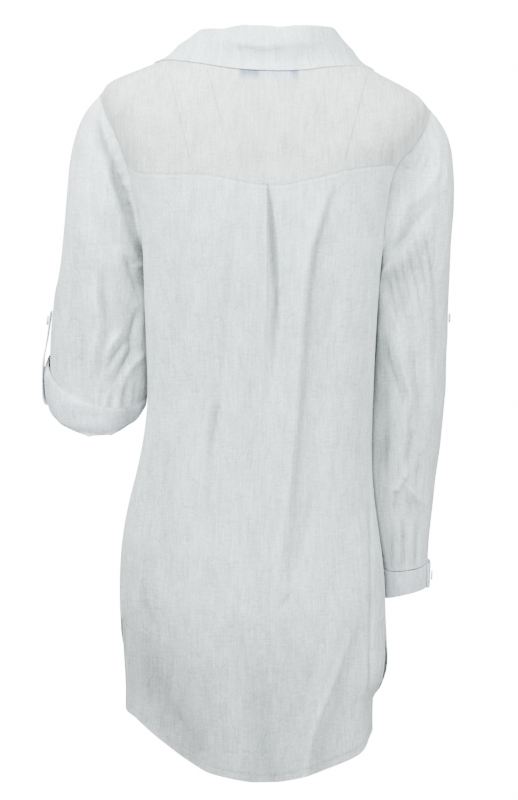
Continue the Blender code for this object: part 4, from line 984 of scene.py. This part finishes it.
RIGHT_CREASES = (
    ((-150, -124, 2.5, 0), (-155, -117, 3, -1.4), (-159, -110, 2.5, 0)),
    ((-155, -132, 2.5, 0), (-161, -129, 3, 1.6), (-169, -125, 2.5, 0)),
    ((-156, -140, 2.5, 0), (-162, -143, 3, -1.6), (-170, -147, 2.5, 0)),
    ((-198, -96, 5, 0), (-197, -122, 6, 2), (-195, -150, 6, 2.2), (-178, -176, 6, 2.4),
     (-160, -189, 6, 2.4), (-149, -209, 6, 2.2), (-139, -241, 6, 2), (-131, -277, 6, 1.2),
     (-129, -308, 5, 0)),
    ((-141, -146, 7, 0), (-146, -166, 8, -1.6), (-142, -190, 8, -1.9), (-136, -212, 7, -1.9),
     (-130, -240, 6, -1.2)),
    ((-196, -176, 5, 0), (-184, -192, 5, -1.0), (-168, -206, 5, -1.3), (-155, -226, 5, -1.3),
     (-146, -256, 5, 0)),
    ((-139, -262, 3, 0), (-143, -282, 3, -1.4), (-149, -306, 3, -1.4), (-156, -330, 3, 0)),
    ((-144, -246, 3, 0), (-149, -270, 3, -1.5), (-156, -296, 3, -1.5), (-163, -322, 3, -1),
     (-168, -346, 3, 0)),
    ((-151, -236, 3, 0), (-157, -262, 3, -1.5), (-164, -288, 3, -1.4), (-170, -312, 3, 0)),
    ((-158, -226, 3, 0), (-165, -250, 3, -1.4), (-172, -276, 3, -1.4), (-178, -304, 3, -1),
     (-181, -330, 3, 0)),
    ((-167, -218, 3, 0), (-174, -240, 3, -1.3), (-181, -268, 3, -1.2), (-185, -290, 3, 0)),
    ((-177, -206, 3, 0), (-184, -232, 3, -1.2), (-190, -262, 3, -1), (-193, -284, 3, 0)),
    ((-180, -170, 3, 0), (-176, -182, 3, 1.2), (-170, -192, 3, 0)),
    ((-190, -122, 3, 0), (-184, -140, 3, -1.3), (-176, -154, 3, 0)),
    ((-182, -118, 3, 0), (-176, -134, 3, -1.2), (-168, -148, 3, 0)),
    ((-138, -283, 4, 0), (-145, -311, 5, 1.6), (-154, -340, 5, 1.4), (-159, -375, 5, 0)),
    ((-206, -133, 4, 0), (-205, -158, 4, 1.2), (-203, -191, 4, 0)),
    ((-191, -196, 6, 0), (-193, -260, 7, -1.2), (-195, -329, 7, -1), (-191, -386, 7, 0)),
    ((-137, -329, 4, 0), (-140, -357, 4, -1.8), (-149, -384, 4, -1.8), (-158, -406, 4, -1.6),
     (-156, -420, 4, 0)),
    ((-147, -329, 4, 0), (-152, -358, 4, 1.6), (-161, -386, 4, 1.6), (-167, -411, 4, 1.2),
     (-164, -432, 4, 0)),
    ((-166, -329, 5, 0), (-170, -369, 5, -1.4), (-176, -409, 5, -1.2), (-177, -455, 5, 0)),
    ((-185, -317, 5, 0), (-186, -375, 6, 1.2), (-186, -432, 6, 1), (-183, -478, 5, 0)),
    ((-163, -420, 4, 0), (-168, -450, 4, -1.6), (-164, -472, 4, -1.6), (-160, -495, 4, 0)),
    ((-154, -415, 4, 0), (-159, -443, 4, 1.5), (-155, -472, 4, 1.4), (-149, -501, 4, 0)),
    ((-141, -515, 4, 0), (-151, -511, 3.5, 1.8), (-160, -494, 3.5, 1.6), (-162, -476, 4, 0)),
    ((-149, -512, 3, 0), (-148, -529, 3, -1.6), (-147, -547, 3, 0)),
    ((-160, -503, 4, 0), (-169, -515, 3.5, 1.8), (-178, -526, 3.5, 1.6), (-182, -542, 4, 0)),
    ((-159, -517, 4, 0), (-167, -529, 3.5, -1.6), (-171, -547, 4, 0)),
    ((-176, -469, 4, 0), (-175, -492, 3.5, -1.5), (-174, -512, 4, 0)),
    ((-135, -432, 5, 0), (-138, -466, 5, -1.6), (-136, -501, 4, 0)),
    ((-137, -335, 7, 0), (-138, -370, 8, -1.6), (-139, -420, 8, -1.8), (-140, -500, 7, -1.4),
     (-140, -560, 6, 0)),
    ((-152, -541, 3, 0), (-153, -568, 2.5, 1.4), (-153, -595, 2.5, 1)),
    ((-159, -538, 3, 0), (-160, -568, 2.5, -1.3), (-160, -596, 2.5, -1)),
    ((-166, -541, 3, 0), (-167, -568, 2.5, 1.3), (-167, -594, 2.5, 1)),
    ((-174, -538, 3, 0), (-175, -565, 2.5, -1.2), (-174, -593, 2.5, -0.8)),
    ((-144, -549, 3, 0), (-146, -576, 2.5, -1.2), (-146, -600, 2.5, -0.8)),
    ((-182, -489, 4, 0), (-186, -524, 4, 1.2), (-185, -576, 4, 0)),
)
RIGHT_FRONT_CREASES = (
    ((-166, -140, 6, 0), (-172, -190, 7, 1.6), (-178, -250, 7, 1.2), (-176, -300, 7, 0)),
    ((-146, -210, 5, 0), (-152, -250, 6, -1.8), (-162, -300, 6, -1.4), (-170, -350, 6, 0)),
    ((-134, -300, 4, 0), (-146, -330, 4, 2), (-164, -360, 4, 1.6), (-180, -382, 4, 0)),
    ((-132, -330, 4, 0), (-144, -362, 4, -1.8), (-160, -392, 4, -1.4), (-174, -410, 4, 0)),
    ((-180, -400, 5, 0), (-172, -440, 5, 1.4), (-160, -476, 5, 1.2), (-146, -500, 5, 0)),
    ((-190, -430, 5, 0), (-180, -480, 5, -1.4), (-166, -520, 5, -1.2), (-152, -545, 5, 0)),
    ((-150, -540, 3, 0), (-152, -568, 3, 1.2), (-152, -595, 3, 0.8)),
    ((-164, -536, 3, 0), (-164, -566, 3, -1.2), (-163, -595, 3, -0.8)),
    ((-176, -536, 3, 0), (-177, -566, 3, 1.2), (-176, -594, 3, 0.8)),
)
SLEEVE_AXIS = {"left": (0.195, -0.03), "right": (-0.165, -0.035)}
SLEEVE_RADIUS = 0.05
SLEEVE_GAIN = 1.7            # how much more the sleeves' creases rise than their tables say
INWARD = {                   # millimetres: height, push towards the body
    "left": ((-430, 0), (-420, 2), (-395, 6), (-360, 5), (-330, 3), (-280, 5), (-256, 8),
             (-243, 6), (-232, 0)),
    "right": ((-330, 0), (-290, 2), (-262, 6), (-243, 8), (-226, 0)),
}


def hang_in(item, hand, pushes):
    """Lets the inner side of a sleeve lie against the body."""
    points, normals = places(item)
    height, push = np.array(pushes).T * MM
    inner = np.clip(-normals[:, 0] * hand, 0, 1)
    points[:, 0] -= hand * inner * np.interp(points[:, 2], height, push)
    move_to(item, points)


def round_sleeve(side):
    """A function that says how far round its sleeve a point lies, from the inner side."""
    across, along = SLEEVE_AXIS[side]
    hand = 1 if side == "left" else -1
    return lambda point: math.atan2(point.y - along, (point.x - across) * hand) * SLEEVE_RADIUS


for side, back_creases, front_creases, seed, flat, area in (
        ("left", LEFT_CREASES, LEFT_FRONT_CREASES, 12, (0.42, 0.36), 0.10),
        ("right", RIGHT_CREASES, RIGHT_FRONT_CREASES, 15, (0.38, 0.55), 0.14)):
    across, along = SLEEVE_AXIS[side]
    sleeve = smooth_sheet("linen_sleeve_" + side,
                          *outer_sheet("sleeve_" + side, (across, along, None)), 2.8 * MM)
    draw_seam_up(sleeve)
    hang_in(sleeve, 1 if side == "left" else -1, INWARD[side])
    # Creases paint light and shade into the tone, and a painted shade line runs along the armhole.
    lift(sleeve, rumple(sleeve, 0.020, 2.2, 0.9 * MM, seed)
         + rumple(sleeve, 0.010, 2.0, 0.3 * MM, seed + 1),
         crease_rise(sleeve, back_creases, 1, SLEEVE_GAIN)
         + crease_rise(sleeve, front_creases, -1, SLEEVE_GAIN),
         all_round, painted_edge_shade(sleeve, lambda x, y, z: z > -0.30, 0, 1.5 * MM, 0.5))
    seam_allowance(sleeve, lambda x, y, z: -0.30 < z < -0.085, 3 * MM)
    cloth_map(sleeve, round_sleeve(side), down)
    finish_sheet(sleeve, "sleeve_" + side, white_linen)


# Rolled cuff. The left sleeve's end is turned up on itself, so its layers make one thick soft
# band that the strap holds.
ROLL_CREASES = (
    ((166, -392, 9, 0), (154, -410, 11, -1.6), (156, -436, 10, -1.2), (166, -452, 8, 0)),
    ((246, -376, 5, 0), (232, -388, 5, -1.0), (214, -402, 5, 0)),
    ((240, -400, 5, 0), (222, -410, 5, 0.9), (196, -418, 6, 0)),
    ((214, -420, 4, 0), (196, -428, 4, -0.9), (176, -428, 4, 0)),
)
ROLL_PAINTED_SHADE = 0.75            # painted shade: how much greyer the roll is at its end beside the body
ROLL_SHADE_FROM = 0.205
ROLL_SHADE_WIDTH = 0.055
roll = smooth_sheet("linen_roll_left", *outer_sheet("rolled_cuff_left", (0.195, -0.033, None),
                                                     2.6 * MM), 2.4 * MM)
points, _ = places(roll)
# The roll's end beside the body and its edges get painted shade in the tone.
lift(roll, rumple(roll, 0.015, 1.0, 0.8 * MM, 18), crease_rise(roll, ROLL_CREASES, 1),
     line=ROLL_PAINTED_SHADE * np.clip((ROLL_SHADE_FROM - points[:, 0]) / ROLL_SHADE_WIDTH, 0, 1)
     + painted_edge_shade(roll, all_round, 0, 1.2 * MM, 0.5))
sew("stitches_roll", roll, all_round, 5.0 * MM)
cloth_map(roll, round_sleeve("left"), down)
finish_sheet(roll, "rolled_cuff_left", white_linen_double, 2.0 * MM)


# Cuff. The right sleeve ends in a straight band of doubled linen that laps over itself on the
# outside of the wrist and is held by one button.
# Painted shade over the whole cuff, lifted by painted light towards its outer end.
CUFF_PAINTED_SHADE = 0.25
CUFF_PAINTED_LIGHT = 0.9             # painted light: how much brighter its outer end is than its inner one
CUFF_LIGHT_FROM = -0.172
CUFF_LIGHT_WIDTH = 0.020
cuff = smooth_sheet("linen_cuff_right", *outer_sheet("cuff_right", (-0.163, -0.044, None)),
                    2.4 * MM)
points, _ = places(cuff)
outer = np.clip((CUFF_LIGHT_FROM - points[:, 0]) / CUFF_LIGHT_WIDTH, 0, 1)
lift(cuff, rumple(cuff, 0.015, 1.0, 0.5 * MM, 19), line=CUFF_PAINTED_SHADE - CUFF_PAINTED_LIGHT * outer)
sew("stitches_cuff", cuff, all_round, 2.5 * MM)
cloth_map(cuff, round_sleeve("right"), down)
finish_sheet(cuff, "cuff_right", white_linen_double, 1.3 * MM)


# Strap. A narrow tab of doubled linen, sewn inside the left sleeve, comes out under the roll,
# runs up over it and is buttoned to the sleeve.
def soft_solid(name, node, material, hold=0.55):
    """A finer copy of a whole CAD solid, with its long edges softened. hold is how sharp they
    stay, from 0 to 1."""
    bm = opened(frame["nodes"][node].data)
    bmesh.ops.remove_doubles(bm, verts=bm.verts, dist=SAME_PLACE)
    bmesh.ops.join_triangles(bm, faces=bm.faces, angle_face_threshold=math.radians(35),
                             angle_shape_threshold=math.radians(60))
    crease = bm.edges.layers.float.new("crease_edge")
    for edge in bm.edges:
        if len(edge.link_faces) == 2 and edge.calc_face_angle() > math.radians(50):
            edge[crease] = hold
    mesh = bpy.data.meshes.new(name)
    closed(bm, mesh)
    item = new_piece(name, mesh)
    reshape(item, "SUBSURF", levels=LEVELS)
    bpy.ops.object.shade_smooth()
    tone = item.data.attributes.new("tone", "FLOAT", "POINT")
    tone.data.foreach_set("value", np.zeros(len(item.data.vertices)))
    item.data.materials.append(material)
    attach(item, "root")
    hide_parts(node)
    return item


strap = soft_solid("linen_strap_left", "tab_left", white_linen_double)
cloth_map(strap, lambda point: point.y, down)


# Label. A blank woven label, sewn by its ends inside the back of the neck.
label = soft_solid("woven_label", "neck_label", linen("woven label", (0.36, 0.40, 0.50)), 1.0)
cloth_map(label, lambda point: point.x, down)


# Buttons. Small dished buttons with four holes, turned from pale shell and sewn on with white
# thread: down the front, on the neck band, on the cuff and on the strap's sleeve.
BUTTON_THICK = 0.36         # this and the next seven are shares of the button's radius
BUTTON_EDGE = 0.16
BUTTON_ROUND = 0.05
DISH_SLOPE = 0.10
DISH_DEEP = 0.11
HOLE_PLACE = 0.24
HOLE = 0.12
LOOP = (0.075, 0.62, 0.10)  # a thread loop's radius, length and height

bpy.ops.object.select_all(action="DESELECT")
bpy.ops.mesh.primitive_cylinder_add(vertices=40, radius=1, depth=BUTTON_THICK)
pattern = bpy.context.object
bpy.ops.object.mode_set(mode="EDIT")
bpy.ops.mesh.select_all(action="DESELECT")
bpy.ops.object.mode_set(mode="OBJECT")
for face in pattern.data.polygons:
    face.select = face.normal.z > 0.9
bpy.ops.object.mode_set(mode="EDIT")
bpy.ops.mesh.inset(thickness=BUTTON_EDGE)
bpy.ops.mesh.inset(thickness=DISH_SLOPE)
bpy.ops.transform.translate(value=(0, 0, -DISH_DEEP))
bpy.ops.object.mode_set(mode="OBJECT")
for across, along in ((1, 1), (1, -1), (-1, 1), (-1, -1)):
    bpy.ops.object.select_all(action="DESELECT")
    bpy.ops.mesh.primitive_cylinder_add(vertices=12, radius=HOLE, depth=1,
                                        location=(across * HOLE_PLACE, along * HOLE_PLACE, 0))
    drill = bpy.context.object
    reshape(pattern, "BOOLEAN", operation="DIFFERENCE", solver="EXACT", object=drill)
    bpy.data.objects.remove(drill)
reshape(pattern, "BEVEL", width=BUTTON_ROUND, segments=2, limit_method="ANGLE",
        angle_limit=math.radians(40))
bpy.ops.object.shade_smooth_by_angle(angle=math.radians(35))

loops = []
for across in (1, -1):
    bpy.ops.mesh.primitive_cylinder_add(vertices=10, radius=LOOP[0], depth=LOOP[1],
                                        location=(across * HOLE_PLACE, 0, LOOP[2]),
                                        rotation=(math.radians(90), 0, 0))
    loops.append(bpy.context.object)
bpy.ops.object.select_all(action="DESELECT")
for loop in loops:
    loop.select_set(True)
bpy.context.view_layer.objects.active = loops[0]
bpy.ops.object.join()
knot = bpy.context.object
bpy.ops.object.transform_apply(location=True, rotation=True, scale=True)

shell = mottled("pale shell", 0.28, 0.3, 260, 3, (0.66, 0.66, 0.62, 1), (0.84, 0.84, 0.82, 1))

BUTTON_GAP = 0.3 * MM
FURTHEST_SEAT = 4 * MM
under_buttons = []
for item in bpy.data.objects:
    if item.name.startswith(("linen_band", "linen_sleeve", "linen_cuff", "linen_strap")):
        under_buttons.append(BVHTree.FromPolygons([vert.co for vert in item.data.vertices],
                                                  [face.vertices for face in item.data.polygons]))


def place_button(node):
    """Puts the pattern where a CAD button is, its dish away from the shirt, close on the cloth."""
    corners = np.array([vert.co for vert in frame["nodes"][node].data.vertices])
    centre = (corners.max(0) + corners.min(0)) / 2
    ways = np.linalg.svd(corners - corners.mean(0))[2]
    out = Vector(ways[2])
    inside = Vector((0, 0, centre[2]))
    if node in ("tab_button_left", "tab_button_right", "cuff_button"):
        across, along = SLEEVE_AXIS["left" if centre[0] > 0 else "right"]
        inside = Vector((across, along, centre[2]))
    if out.dot(Vector(centre) - inside) < 0:
        out = -out
    radius = float(np.abs((corners - centre) @ ways[0]).max())
    half = float(np.abs((corners - centre) @ ways[2]).max())
    ways_down = [tree.ray_cast(Vector(centre), -out, FURTHEST_SEAT)[3] for tree in under_buttons]
    seat = min((way for way in ways_down if way is not None), default=half + BUTTON_GAP)
    centre = centre - np.array(out) * (seat - half - BUTTON_GAP)
    turn = out.to_track_quat("Z", "Y").to_matrix().to_4x4()
    place = Matrix.Translation(Vector(centre)) @ turn @ Matrix.Scale(radius, 4)
    for kind, source, paint in (("button", pattern, shell), ("thread", knot, thread)):
        mesh = source.data.copy()
        mesh.transform(place)
        mesh.materials.clear()
        mesh.materials.append(paint)
        item = new_piece(f"{kind}_of_{node}", mesh)
        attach(item, "root")
        if kind == "button":
            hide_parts(node)


for name in [name for name in frame["nodes"] if "button" in name]:
    place_button(name)
bpy.data.objects.remove(pattern)
bpy.data.objects.remove(knot)
